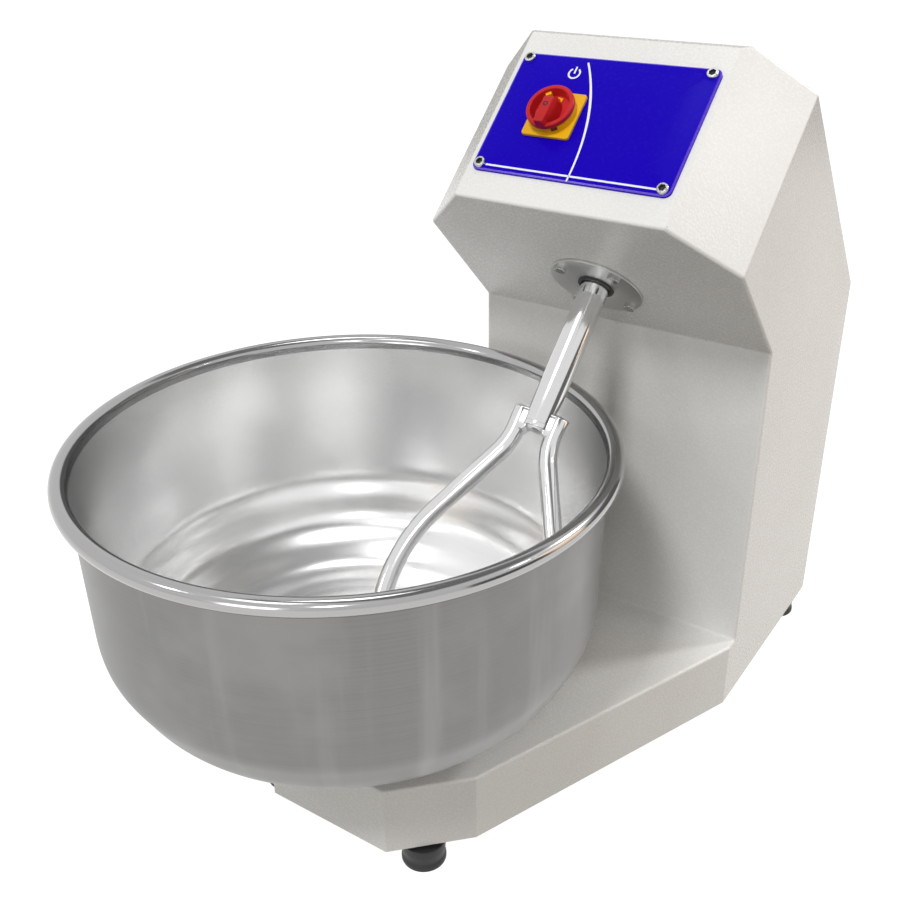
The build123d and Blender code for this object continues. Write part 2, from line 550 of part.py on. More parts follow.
def bevel_wheel(teeth, mate_teeth, first, bore, body, hub_radius, hub_end):
    """Straight bevel wheel with its apex at the origin and its axis along +Z, towards the hub."""
    radius, height = MODULE * teeth / 2, MODULE * mate_teeth / 2
    cone = degrees(atan2(radius, height))
    inner = 1 - FACE_WIDTH / hypot(radius, height)
    drop_r, drop_z = DEDENDUM * MODULE * cos(radians(cone)), DEDENDUM * MODULE * sin(radians(cone))
    root = (radius - drop_r, height + drop_z)
    blank = [
        (bore, inner * root[1]), (inner * root[0], inner * root[1]), root, (root[0], root[1] + body / 2),
        (hub_radius, root[1] + body), (hub_radius, hub_end), (bore, hub_end),
    ]
    wheel = revolve(Plane.XZ * make_face(Polyline(*blank, close=True)), Axis.Z)
    tooth = loft([bevel_tooth(radius, height, cone, scale) for scale in (1.0, inner)], ruled=True)
    copies = [Rot(0, 0, first + 360 * i / teeth) * tooth for i in range(teeth)]
    return wheel + copies


def make_gearbox():
    """Gearcase with its cover, the bearings, the bevel pair and the pinion shaft with its pulley."""
    low, high = -SHEET, -SHEET - CASE_LENGTH
    boss = LOWER_BEARING_RADIUS + BOSS_WALL
    bearing_low = low - CASE_FLOOR - LOWER_BEARING_LENGTH
    case = disc(CASE_RADIUS, high, low) - disc(CASE_RADIUS - CASE_WALL, high - 1, low - CASE_FLOOR)
    case += ring(boss, LOWER_BEARING_RADIUS, bearing_low, low - CASE_FLOOR)
    case -= disc(FLANGE_BORE, low - CASE_FLOOR - 1, low + 1)
    for x, y in circle_points(FLANGE_PCD, 4, 45):
        case -= Pos(x, y, 0) * disc(M6 + SEAT_FIT, low - CASE_FLOOR - 1, low + 1)
    cover_bolts = circle_points(2 * CASE_RADIUS - CASE_WALL, 6, 30)
    for x, y in cover_bolts:
        case -= Pos(x, y, 0) * disc(M5 / 2 + SEAT_FIT, high - 1, high + 14)
    case = SHAFT * case
    tunnel = PINION_BEARING_RADIUS + BOSS_WALL
    skirt = PINION * disc(tunnel, CASE_RADIUS - CASE_WALL - 2, PINION_BOSS_END)
    case = case + skirt - PINION * disc(PINION_BEARING_RADIUS, 0, PINION_BOSS_END + 1)
    save("gearcase", case)
    outer, bore = LOWER_BEARING_RADIUS - SEAT_FIT, SHAFT_RADIUS + RUN_FIT
    save("lower_bearing", SHAFT * ring(outer, bore, bearing_low, low - CASE_FLOOR))
    cover = disc(CASE_RADIUS, high - CASE_COVER, high)
    cover += disc(UPPER_BEARING_RADIUS + BOSS_WALL, high, high + UPPER_BEARING_LENGTH)
    cover -= disc(UPPER_BEARING_RADIUS, high, high + UPPER_BEARING_LENGTH)
    for x, y in cover_bolts:
        cover -= Pos(x, y, 0) * disc(M5 / 2 + SCREW_GAP, high - CASE_COVER - 1, high + 1)
    save("gearcase_cover", SHAFT * cover)
    upward = Pos(0, 0, high - CASE_COVER) * Rot(180, 0, 0)
    bolt = upward * hex_bolt(M5 / 2, CASE_COVER + 12)
    save("gearcase_bolts", *[SHAFT * Pos(x, y, 0) * bolt for x, y in cover_bolts])
    outer, bore = UPPER_BEARING_RADIUS - SEAT_FIT, SHAFT_TOP_RADIUS + RUN_FIT
    save("upper_bearing", SHAFT * ring(outer, bore, high, high + UPPER_BEARING_LENGTH))
    apex = Pos(0, 0, -SHEET - APEX)
    hub_end = APEX + SHEET + bearing_low - 1
    bore = SHAFT_RADIUS + SEAT_FIT
    gear = bevel_wheel(GEAR_TEETH, PINION_TEETH, 180 / GEAR_TEETH, bore, GEAR_BODY, GEAR_HUB_RADIUS, hub_end)
    save("bevel_gear", SHAFT * apex * gear)
    stub = 0.65 * PINION_SHAFT_RADIUS
    hub = PINION_SHAFT_RADIUS + 1
    pinion = bevel_wheel(PINION_TEETH, GEAR_TEETH, 0, stub + SEAT_FIT, PINION_BODY, hub, PINION_END)
    save("bevel_pinion", PINION * pinion)
    inner = GEAR_TEETH * MODULE / 2 - FACE_WIDTH
    shaft = disc(PINION_SHAFT_RADIUS, PINION_END, PULLEY_START + PULLEY_WIDTH + 6)
    save("pinion_shaft", PINION * (shaft + disc(stub, inner, PINION_END)))
    starts = (PINION_END + 2, PINION_BOSS_END - PINION_BEARING_LENGTH)
    outer, bore = PINION_BEARING_RADIUS - SEAT_FIT, PINION_SHAFT_RADIUS + RUN_FIT
    save("pinion_bearings", *[PINION * ring(outer, bore, s, s + PINION_BEARING_LENGTH) for s in starts])
    save("driven_pulley", PINION * pulley(DRIVEN_PULLEY, PINION_SHAFT_RADIUS))


def groove_half(radius, pitch_radius):
    """Half width of the belt's V at a radius: 38 degrees between the flanks."""
    return BELT_TOP / 2 + (radius - pitch_radius - BELT_HEIGHT / 2) * tan(radians(19))


def pulley(pitch_radius, shaft_radius):
    """Grooved V-belt pulley on its shaft."""
    outer, root = pitch_radius + BELT_HEIGHT / 2 + 1.5, pitch_radius - BELT_HEIGHT / 2 - 2.5
    middle = PULLEY_START + PULLEY_WIDTH / 2
    wheel = ring(outer, shaft_radius + SEAT_FIT, PULLEY_START, PULLEY_START + PULLEY_WIDTH)
    wide, narrow = groove_half(outer, pitch_radius) + BELT_GAP, groove_half(root, pitch_radius) + BELT_GAP
    flank = [(outer + 1, wide), (outer, wide), (root, narrow)]
    groove = flank + [(r, -z) for r, z in reversed(flank)]
    cutter = make_face(Polyline(*[(r, middle + z) for r, z in groove], close=True))
    return wheel - revolve(Plane.XZ * cutter, Axis.Z)


def belt_loop(grow):
    """Outline of the belt round both pulleys, its pitch line moved outwards by grow, in the YZ plane."""
    circles = []
    for plane, radius in ((PINION, DRIVEN_PULLEY), (MOTOR, MOTOR_PULLEY)):
        circles.append(Pos(plane.origin.Y, plane.origin.Z) * Circle(radius + grow))
    return make_hull((circles[0] + circles[1]).edges())


def make_belt():
    """V-belt round the two pulleys: a flat outer band and a narrower inner one make its V."""
    middle = PULLEY_START + PULLEY_WIDTH / 2
    layers = 4
    step = BELT_HEIGHT / layers
    belt = None
    for i in range(layers):
        low = -BELT_HEIGHT / 2 + i * step
        width = 2 * groove_half(low, 0)
        band = belt_loop(low + step) - belt_loop(low)
        layer = Pos(middle - width / 2, 0, 0) * extrude(Plane.YZ * band, width)
        belt = layer if belt is None else belt + layer
    save("v_belt", belt)


def bracket_bolt_points():
    """Bolts that hold the motor bracket to the bottom plate."""
    span = (BRACKET_LENGTH - 2 * BRACKET_BOLT_END, BRACKET_DEPTH - 2 * BRACKET_BOLT_EDGE)
    return [(x, MOTOR_Y + y) for x, y in corners(*span)]


def motor_foot_points():
    """Bolts that hold the motor's feet to the bracket."""
    span = (BRACKET_LENGTH - 2 * MOTOR_BOLT_END, BRACKET_DEPTH - 2 * MOTOR_BOLT_EDGE)
    return [(x, MOTOR_Y + y) for x, y in corners(*span)]


def make_motor():
    """Foot-mounted motor: stator, end shields, shaft, fan, cover, terminal box, bracket and pulley."""
    end = STATOR_LENGTH / 2
    feet_z = MOTOR_Z - MOTOR_FOOT_DROP
    stator = disc(STATOR_RADIUS, -end, end)
    for i in range(FIN_COUNT):
        fin = Pos(STATOR_RADIUS + FIN_HEIGHT / 2 - 1, 0, 0) * block(FIN_HEIGHT + 2, FIN_THICK, -end, end)
        stator += Rot(0, 0, 360 * (i + 0.5) / FIN_COUNT) * fin
    stator -= disc(0.62 * STATOR_RADIUS, -end - 1, end + 1)
    stator = MOTOR * stator
    for side in (-1, 1):
        pad = block(*MOTOR_PAD, feet_z, feet_z + MOTOR_FOOT)
        web = block(MOTOR_PAD[0], MOTOR_WEB, feet_z, MOTOR_Z - 0.6 * STATOR_RADIUS)
        stator += Pos(0, MOTOR_Y + side * (BRACKET_DEPTH - MOTOR_PAD[1]) / 2, 0) * pad
        stator += Pos(0, MOTOR_Y + side * (BRACKET_DEPTH / 2 - MOTOR_PAD[1] + MOTOR_WEB / 2), 0) * web
    stator -= MOTOR * disc(0.62 * STATOR_RADIUS, -end - 1, end + 1)
    for x, y in motor_foot_points():
        stator -= Pos(x, y, 0) * disc(M8 + SCREW_GAP, feet_z - 1, feet_z + MOTOR_FOOT + 1)
    save("motor_stator", stator)
    hole = MOTOR_SHAFT_RADIUS + RUN_FIT
    save("motor_front_shield", MOTOR * ring(STATOR_RADIUS, hole, end, end + SHIELD_LENGTH))
    save("motor_rear_shield", MOTOR * ring(STATOR_RADIUS, hole, -end - SHIELD_LENGTH, -end))
    rear = -end - SHIELD_LENGTH
    cover = disc(STATOR_RADIUS, rear - FAN_COVER_LENGTH, rear)
    cover -= disc(STATOR_RADIUS - FAN_COVER_WALL, rear - FAN_COVER_LENGTH + FAN_COVER_WALL, rear + 1)
    for x, y in circle_points(1.1 * STATOR_RADIUS, 12, 0) + circle_points(0.6 * STATOR_RADIUS, 6, 0):
        cover -= Pos(x, y, 0) * disc(5, rear - FAN_COVER_LENGTH - 1, rear - FAN_COVER_LENGTH + 5)
    save("motor_fan_cover", MOTOR * cover)
    fan_back = rear - 0.75 * FAN_COVER_LENGTH
    fan = ring(0.35 * FAN_RADIUS, MOTOR_SHAFT_RADIUS + SEAT_FIT, fan_back, rear - 6)
    fan += ring(FAN_RADIUS, 0.3 * FAN_RADIUS, fan_back + 14, fan_back + 17)
    for i in range(6):
        blade = Pos(0.65 * FAN_RADIUS, 0, fan_back) * Box(0.65 * FAN_RADIUS, 2.5, 15, align=OUT)
        fan += Rot(0, 0, 60 * i) * blade
    save("motor_fan", MOTOR * fan)
    rotor = disc(0.6 * STATOR_RADIUS, -0.8 * end, 0.8 * end)
    rotor += disc(MOTOR_SHAFT_RADIUS, fan_back, PULLEY_START + PULLEY_WIDTH + 6)
    save("motor_rotor", MOTOR * rotor)
    save("motor_pulley", MOTOR * pulley(MOTOR_PULLEY, MOTOR_SHAFT_RADIUS))
    lid = Pos(0, MOTOR_Y, MOTOR_Z + STATOR_RADIUS + FIN_HEIGHT) * Box(*TERMINAL_BOX, align=OUT)
    save("motor_terminal_box", fillet(lid.edges().filter_by(Axis.Z), 6))
    inside = BRACKET_DEPTH - 2 * BRACKET_PLATE
    bracket = block(BRACKET_LENGTH, BRACKET_DEPTH, EDGE_Z, feet_z)
    bracket -= block(BRACKET_LENGTH + 2, inside, EDGE_Z + BRACKET_PLATE, feet_z - BRACKET_PLATE)
    bracket = Pos(0, MOTOR_Y, 0) * bracket
    for x, y in bracket_bolt_points():
        bracket -= Pos(x, y, 0) * disc(M8 + SCREW_GAP, EDGE_Z - 1, EDGE_Z + BRACKET_PLATE + 1)
    for x, y in motor_foot_points():
        bracket -= Pos(x, y, 0) * disc(M8 + SCREW_GAP, feet_z - BRACKET_PLATE - 1, feet_z + 1)
    save("motor_bracket", bracket)
    bolt = Pos(0, 0, feet_z + MOTOR_FOOT) * hex_bolt(M8, MOTOR_FOOT + BRACKET_PLATE + 6)
    save("motor_bolts", *[Pos(x, y, 0) * bolt for x, y in motor_foot_points()])
    below = Pos(0, 0, FOOT_HEIGHT) * Rot(180, 0, 0)
    grip = BOTTOM_PLATE + BRACKET_PLATE + 4
    save("bracket_bolts", *[Pos(x, y, 0) * below * hex_bolt(M8, grip) for x, y in bracket_bolt_points()])


def bowl_profile(inset):
    """Half section of the bowl's outside, moved inwards by inset: straight wall, round corner, flat."""
    rim = EDGE_Z + RIM_HEIGHT
    top = RIM_RADIUS - RIM_BEAD + BOWL_WALL - inset
    knee = top - WALL_TAPER * WALL_HEIGHT
    low = rim - BOWL_DEPTH + inset
    corner_x, corner_z = knee - BOWL_FLAT, BOWL_DEPTH - WALL_HEIGHT - inset
    wall = Line((top, rim), (knee, rim - WALL_HEIGHT))
    middle = (BOWL_FLAT, rim - WALL_HEIGHT)
    corner = EllipticalCenterArc(middle, corner_x, corner_z, start_angle=270, arc_size=90)
    flat = Line((BOWL_FLAT, low), (0, low))
    axis = Line((0, low), (0, rim))
    return make_face(Curve() + [wall, corner, flat, axis, Line((0, rim), (top, rim))])


def make_bowl():
    """Spun bowl with its rolled rim, hub plate, spindle, nut, bearings and spindle housing."""
    rim = EDGE_Z + RIM_HEIGHT
    bowl_low = rim - BOWL_DEPTH
    roll = Circle(RIM_BEAD) - Circle(RIM_BEAD - BOWL_WALL)
    roll -= Rot(0, 0, 215) * Pos(RIM_BEAD, 0) * Rectangle(RIM_BEAD, RIM_BEAD / 3)
    section = bowl_profile(0) - bowl_profile(BOWL_WALL) + Pos(RIM_RADIUS, rim) * roll
    save("bowl", SPINDLE * revolve(Plane.XZ * section, Axis.Z))
    hub_low = bowl_low - HUB_THICK
    hub = ring(HUB_RADIUS, SPINDLE_RADIUS + SEAT_FIT, hub_low, bowl_low)
    save("bowl_hub", SPINDLE * chamfer(hub.edges().group_by(Axis.Z)[0].sort_by(SortBy.LENGTH)[-1], 2))
    top = hub_low - HUB_GAP
    wall = SPINDLE_BEARING_RADIUS + HOUSING_WALL
    low = EDGE_Z + SPINDLE_FOOT
    stop = SPINDLE_BEARING_RADIUS - 5
    holder = disc(wall, low, top) + disc(HOUSING_FLANGE_RADIUS, BASE_TOP, BASE_TOP + HOUSING_FLANGE)
    holder -= disc(SPINDLE_BEARING_RADIUS, low - 1, low + SPINDLE_BEARING_LENGTH)
    holder -= disc(SPINDLE_BEARING_RADIUS, top - SPINDLE_BEARING_LENGTH, top + 1)
    holder -= disc(stop, low, top)
    bolts = circle_points(HOUSING_PCD, 4, 45)
    for x, y in bolts:
        holder -= Pos(x, y, BASE_TOP) * disc(M8 + SCREW_GAP, -1, HOUSING_FLANGE + 1)
    save("spindle_housing", SPINDLE * holder)
    bearing = ring(SPINDLE_BEARING_RADIUS - SEAT_FIT, SPINDLE_RADIUS + RUN_FIT, 0, SPINDLE_BEARING_LENGTH)
    starts = (low, top - SPINDLE_BEARING_LENGTH)
    save("spindle_bearings", *[SPINDLE * Pos(0, 0, start) * bearing for start in starts])
    spindle = disc(SPINDLE_RADIUS, low - SPINDLE_TAIL, bowl_low) + disc(SPINDLE_COLLAR, top + 0.3, hub_low)
    save("bowl_spindle", SPINDLE * spindle)
    nut = extrude(RegularPolygon(1.5 * SPINDLE_RADIUS, 6), SPINDLE_NUT)
    nut -= disc(SPINDLE_RADIUS + SEAT_FIT, -1, SPINDLE_NUT + 1)
    save("spindle_nut", SPINDLE * Pos(0, 0, low - SPINDLE_NUT - 0.3) * nut)
    plate = ring(STIFFENER_RADIUS, wall + SCREW_GAP, BASE_TOP - SHEET - STIFFENER, BASE_TOP - SHEET)
    for x, y in bolts:
        plate -= Pos(x, y, BASE_TOP) * disc(M8 + SEAT_FIT, -SHEET - STIFFENER - 1, 0)
    save("spindle_stiffener", SPINDLE * plate)
    bolt = hex_bolt(M8, HOUSING_FLANGE + SHEET + STIFFENER + 3)
    save("spindle_bolts", *[SPINDLE * Pos(x, y, BASE_TOP + HOUSING_FLANGE) * bolt for x, y in bolts])


os.makedirs("parts", exist_ok=True)
make_housing()
make_bottom()
make_rear()
make_panel()
make_agitator()
make_gearbox()
make_belt()
make_motor()
make_bowl()
planes = {"shaft": SHAFT, "pinion": PINION, "motor": MOTOR, "bowl": SPINDLE, "face": FACE}
for label, plane in planes.items():
    place = (TO_ORIGIN * Pos(*plane.origin)).position
    print(label, [round(c, 3) for c in place], "axis", [round(c, 6) for c in plane.z_dir])
print("switch", [round(c, 3) for c in (TO_ORIGIN * SWITCH).position])
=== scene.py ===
# %% [markdown]
# A free-standing fork dough mixer: a powder-coated steel body, a blue control panel with a main switch,
# a polished fork on an inclined shaft, and a spun steel bowl on a low base. The imported CAD model is the
# fixed frame, and it is loaded first.

# %% Load the frame
import json
import math

import bmesh
import bpy
import numpy as np
from mathutils import Matrix, Vector


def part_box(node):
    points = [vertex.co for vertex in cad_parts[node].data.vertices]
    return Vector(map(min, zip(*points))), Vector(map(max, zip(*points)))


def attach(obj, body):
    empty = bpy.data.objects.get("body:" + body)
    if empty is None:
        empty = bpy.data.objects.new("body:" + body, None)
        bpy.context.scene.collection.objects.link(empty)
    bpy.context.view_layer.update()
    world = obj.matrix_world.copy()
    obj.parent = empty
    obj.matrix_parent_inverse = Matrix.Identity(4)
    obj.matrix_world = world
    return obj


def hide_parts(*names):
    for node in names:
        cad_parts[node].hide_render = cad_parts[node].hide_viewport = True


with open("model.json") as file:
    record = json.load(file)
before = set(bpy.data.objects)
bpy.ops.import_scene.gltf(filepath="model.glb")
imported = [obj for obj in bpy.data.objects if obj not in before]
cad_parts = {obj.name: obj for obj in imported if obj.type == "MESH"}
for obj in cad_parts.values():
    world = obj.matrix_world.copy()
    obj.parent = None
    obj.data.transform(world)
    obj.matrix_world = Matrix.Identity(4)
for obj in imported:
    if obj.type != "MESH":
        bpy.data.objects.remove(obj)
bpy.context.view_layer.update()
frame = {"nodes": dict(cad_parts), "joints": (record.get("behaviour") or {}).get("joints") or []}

joint = {j["name"]: j for j in frame["joints"]}

# %% [markdown]
# The camera stands where the photograph was taken: right of the machine, a little above its head, looking down
# at the bowl. A tracking constraint could aim it, but three turns by the measured yaw, pitch and roll are exact
# and need no helper object. Before them, a camera looks straight down.

# %% Camera
CAMERA_PLACE = (0.5838, -0.8552, 0.8711)
YAW, PITCH, ROLL = 34.49, 27.95, 0.96
FOCAL_PIXELS = 1130.1
PICTURE = 900
SENSOR = 36.0
CLIP_NEAR, CLIP_FAR = 0.02, 100.0


def added(name, data):
    """A new object that holds the data, linked into the scene."""
    made = bpy.data.objects.new(name, data)
    bpy.context.scene.collection.objects.link(made)
    return made


def turn(degrees, axis):
    """The matrix of a turn about an axis."""
    return Matrix.Rotation(math.radians(degrees), 4, axis)


lens = bpy.data.cameras.new("camera")
lens.sensor_width = SENSOR
lens.lens = FOCAL_PIXELS * SENSOR / PICTURE
lens.clip_start, lens.clip_end = CLIP_NEAR, CLIP_FAR
camera = added("camera", lens)
aim = turn(YAW, "Z") @ turn(90.0 - PITCH, "X") @ turn(-ROLL, "Z")
camera.matrix_world = Matrix.Translation(CAMERA_PLACE) @ aim
bpy.context.scene.camera = camera
bpy.context.scene.view_settings.view_transform = "Standard"
print("camera lens", round(lens.lens, 2), "mm")

# %% [markdown]
# Every new piece is a surface on a grid of points, worked out as whole arrays. Primitives and edit operators
# could make them too, but a formula gives the exact shape in one step. The helpers turn such sheets into one
# mesh. A row whose points coincide is a pole or a closed end: merging them closes the shell, and then the normals
# are turned outwards.

# %% Sheets of points to one mesh
MM = 0.001
POLE_MERGE = 1e-6


def run_along(points):
    """The distance run from the first point or row to each; for rows, the mean of their columns."""
    steps = np.linalg.norm(np.diff(points, axis=0), axis=-1).reshape(len(points) - 1, -1)
    return np.concatenate([[0.0], np.cumsum(steps.mean(axis=1))])


def sheet_quads(rows, columns, wraps):
    """Corner numbers of each cell of a grid, going round to the first column where the sheet wraps."""
    row = np.arange(rows - 1)[:, None] * columns
    here = np.arange(columns if wraps else columns - 1)[None, :]
    beside = (here + 1) % columns
    corners = [row + here, row + beside, row + columns + beside, row + columns + here]
    return np.stack(corners, -1).reshape(-1, 4)


def sheet_uv(points, wraps):
    """Cell corners' u, the share of the way across the columns, and v, the run down the rows in metres."""
    columns, run = points.shape[1], run_along(points)
    here = np.arange(columns if wraps else columns - 1)
    u = np.stack([here, here + 1, here + 1, here], -1)[None] / columns
    v = np.stack([run[:-1], run[:-1], run[1:], run[1:]], -1)[:, None]
    return np.stack(np.broadcast_arrays(u, v), -1).reshape(-1, 2)


def mesh_of(name, sheets):
    """One mesh from (points, wraps, finish number) sheets, with poles merged and faces outward."""
    points = np.concatenate([grid.reshape(-1, 3) for grid, _, _ in sheets])
    starts = np.cumsum([0] + [grid.shape[0] * grid.shape[1] for grid, _, _ in sheets])
    cells = [sheet_quads(*grid.shape[:2], wraps) for grid, wraps, _ in sheets]
    quads = np.concatenate([cell + start for cell, start in zip(cells, starts)]).astype(np.int32)
    picks = [np.broadcast_to(pick, len(cell)).ravel() for cell, (_, _, pick) in zip(cells, sheets)]
    mesh = bpy.data.meshes.new(name)
    mesh.vertices.add(len(points))
    mesh.vertices.foreach_set("co", points.astype(np.float32).ravel())
    mesh.loops.add(quads.size)
    mesh.loops.foreach_set("vertex_index", quads.ravel())
    mesh.polygons.add(len(quads))
    mesh.polygons.foreach_set("loop_start", np.arange(0, quads.size, 4, dtype=np.int32))
    mesh.polygons.foreach_set("material_index", np.concatenate(picks).astype(np.int32))
    mesh.update(calc_edges=True)
    around = mesh.uv_layers.new(name="around")
    uv = np.concatenate([sheet_uv(grid, wraps) for grid, wraps, _ in sheets])
    around.data.foreach_set("uv", uv.astype(np.float32).ravel())
    form = bmesh.new()
    form.from_mesh(mesh)
    bmesh.ops.remove_doubles(form, verts=form.verts, dist=POLE_MERGE)
    bmesh.ops.recalc_face_normals(form, faces=form.faces)
    form.to_mesh(mesh)
    form.free()
    return mesh


palette = {}


def make_piece(name, sheets, body, slot, stands_for=(), finishes=(), crease=32.0):
    """A piece of the machine from its sheets, riding on its body, smooth but for corners over the crease angle.

    Its finishes are given by name; without any, it has the finish of its slot.
    """
    mesh = mesh_of(name, [(*sheet, 0)[:3] for sheet in sheets])
    for finish in finishes or (slot,):
        mesh.materials.append(palette[finish])
    mesh.shade_smooth()
    mesh.set_sharp_from_angle(angle=math.radians(crease))
    piece = added(name, mesh)
    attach(piece, body)
    if stands_for:
        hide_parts(*stands_for)
    print(name, len(mesh.polygons), "faces")
    return piece


# %% [markdown]
# Most pieces are drawn in a frame of their own: the shaft's, the head face's, the bowl's. A frame is an origin
# and three axes, which carry local millimetres into the machine's metres. An object's own place and turn could do
# that as well, but here the place belongs in the mesh, so that patterns on Object coordinates stay put. Turned
# pieces are a half section carried round the third axis, and bars are a circle carried along a path.

# %% Frames, turned forms and bars
NEARLY_STRAIGHT = 1e-4
BALL_STEPS = 13


def unit(vectors):
    """The same directions at length one."""
    return vectors / np.linalg.norm(vectors, axis=-1, keepdims=True)


def held(values):
    """The values held between 0 and 1."""
    return np.clip(values, 0, 1)


def frame_at(origin, x_axis=(1, 0, 0), z_axis=(0, 0, 1)):
    """A frame from an origin in metres, its first axis and its third; the second completes them."""
    return np.array(origin, float), np.array([x_axis, np.cross(z_axis, x_axis), z_axis], float)


def joint_frame(name):
    """The frame of a joint, its third axis along the joint's."""
    return frame_at(joint[name]["pos_m"], z_axis=joint[name]["axis"])


def placed(local, where):
    """Local points in millimetres carried into the machine's frame in metres."""
    origin, axes = where
    return origin + local * MM @ axes


def moved(where, x=0.0, y=0.0, z=0.0, spin=0.0):
    """The frame moved by local millimetres, then turned about its third axis by degrees."""
    origin, axes = where
    c, s = np.cos(np.radians(spin)), np.sin(np.radians(spin))
    return origin + np.array([x, y, z]) * MM @ axes, np.array([[c, s, 0], [-s, c, 0], [0, 0, 1]]) @ axes


def moved_out(where, radius, degrees, z=0.0, spin=0.0):
    """The frame moved out by a radius at an angle, then as above."""
    angle = np.radians(degrees)
    return moved(where, radius * np.cos(angle), radius * np.sin(angle), z, spin)


def eased(corners, radii, steps=6):
    """A line through the corners with each inner one rounded by an arc that touches both its runs."""
    corners = np.asarray(corners, float)
    line = [corners[:1]]
    for before, at, after, radius in zip(corners, corners[1:], corners[2:], radii):
        back, on = unit(before - at), unit(after - at)
        half = 0.5 * np.arccos(np.clip(back @ on, -1, 1))
        if radius <= 0 or half > np.pi / 2 - NEARLY_STRAIGHT:
            line.append(at[None])
            continue
        middle = at + unit(back + on) * radius / np.sin(half)
        first, last = (at + way * radius / np.tan(half) - middle for way in (back, on))
        share = np.linspace(0, 1, steps)[:, None]
        whole = np.pi - 2 * half
        bend = np.sin((1 - share) * whole) * first + np.sin(share * whole) * last
        line.append(middle + bend / np.sin(whole))
    line.append(corners[-1:])
    return np.concatenate(line)


def whole_turn(steps):
    """That many angles, evenly round a circle."""
    return np.linspace(0, 2 * np.pi, steps, endpoint=False)


def ring(radius, angle, level):
    """Points by radius, angle and level, each of them a number or an array."""
    return np.stack(np.broadcast_arrays(radius * np.cos(angle), radius * np.sin(angle), level), -1)


def turned(profile, where, steps=96):
    """A turned form: each (radius, height) of the half section carried round the frame's third axis."""
    profile = np.asarray(profile, float)
    return placed(ring(profile[:, :1], whole_turn(steps), profile[:, 1:]), where), True


def closed(local, where):
    """A sheet that wraps, from local points, with both its end rows closed to their middles."""
    grid = placed(local, where)
    ends = [np.broadcast_to(row.mean(axis=0), row.shape)[None] for row in (grid[0], grid[-1])]
    return np.concatenate([ends[0], grid, ends[1]]), True


def beside(path):
    """The directions square to a path in its plane, to its left."""
    along = unit(np.gradient(path, axis=0))
    return np.stack([-along[:, 1], along[:, 0]], -1)


def bar_along(path, radius, where, steps=32):
    """A round bar: a circle of that radius carried along a path in the frame's x and z, its end a half ball."""
    lean = np.linspace(0, np.pi / 2, BALL_STEPS)[1:, None]
    ball = path[-1] + radius * np.sin(lean) * unit(path[-1] - path[-2])
    size = np.concatenate([np.full((len(path), 1), radius), radius * np.cos(lean)])
    path = np.concatenate([path, ball])
    left, angle = beside(path), whole_turn(steps)
    out = size * np.cos(angle)
    x, z = path[:, :1] - out * left[:, :1], path[:, 1:] - out * left[:, 1:]
    return closed(np.stack([x, size * np.sin(angle), z], -1), where)


# %% [markdown]
# Finishes are node materials that read Object coordinates, the machine's own metres, so a pattern stays on its
# surface from every side. Painted images would need a map for every piece, and noise in space needs none. The
# helpers make the steps that most finishes share. A node's inputs are given as plain values or as other nodes'
# outputs, and each finish is kept in the palette under its name.

# %% Finish helpers
MIX_FIRST, MIX_SECOND, MIX_RESULT = 6, 7, 2


def feed(tree, made, inputs):
    """Each of a node's inputs set to a plain value, or joined to another node's output."""
    for key, value in inputs.items():
        if isinstance(value, bpy.types.NodeSocket):
            tree.links.new(value, made.inputs[key])
        else:
            made.inputs[key].default_value = value


def node(tree, kind, inputs, **settings):
    """A shader node of that kind with its settings and inputs."""
    made = tree.nodes.new("ShaderNode" + kind)
    for key, value in settings.items():
        setattr(made, key, value)
    feed(tree, made, inputs)
    return made


def new_finish(name, colour, roughness, metal=0.0, **sockets):
    """A new finish with one Principled shader whose plain sockets are set; returns its node tree and shader."""
    palette[name] = finish = bpy.data.materials.new(name)
    finish.use_nodes = True
    shader = finish.node_tree.nodes["Principled BSDF"]
    more = {socket.replace("_", " "): value for socket, value in sockets.items()}
    plain = {"Base Color": (*colour, 1.0), "Roughness": roughness, "Metallic": metal}
    feed(finish.node_tree, shader, {**plain, **more})
    return finish.node_tree, shader


def coordinates(tree, stretch=(1.0, 1.0, 1.0), uv=False):
    """Object coordinates in metres, or the piece's own map round and along it, stretched."""
    source = node(tree, "UVMap", {}, uv_map="around") if uv else node(tree, "TexCoord", {})
    vector = source.outputs["UV" if uv else "Object"]
    return node(tree, "Mapping", {"Vector": vector, "Scale": stretch}).outputs["Vector"]


def noise(tree, vector, scale, detail=2.0, rough=0.5):
    """Noise of about that many grains to the metre."""
    inputs = {"Vector": vector, "Scale": scale, "Detail": detail, "Roughness": rough}
    return node(tree, "TexNoise", inputs).outputs["Fac"]


def ramp(tree, value, low=0.3, high=0.7, to_low=0.0, to_high=1.0):
    """The value from low to high spread smoothly over to_low to to_high, and held there beyond."""
    inputs = {"Value": value, "From Min": low, "From Max": high, "To Min": to_low, "To Max": to_high}
    return node(tree, "MapRange", inputs, interpolation_type="SMOOTHSTEP").outputs["Result"]


def scaled(colour, share):
    """The colour times a share, no channel over 1."""
    return tuple(min(1.0, channel * share) for channel in colour)


def blend_colour(tree, share, first, second):
    """A colour between two, each a plain colour or another node's output, by a share from 0 to 1."""
    first, second = ((*c, 1.0) if isinstance(c, tuple) else c for c in (first, second))
    inputs = {"Factor": share, MIX_FIRST: first, MIX_SECOND: second}
    return node(tree, "Mix", inputs, data_type="RGBA").outputs[MIX_RESULT]


def surface(tree, shader, tone, gloss, relief, depth, strength=1.0):
    """Colour and roughness joined to the shader, and fine relief as a bump of that depth in metres."""
    bump = node(tree, "Bump", {"Distance": depth, "Strength": strength, "Height": relief})
    feed(tree, shader, {"Normal": bump.outputs["Normal"], "Base Color": tone, "Roughness": gloss})


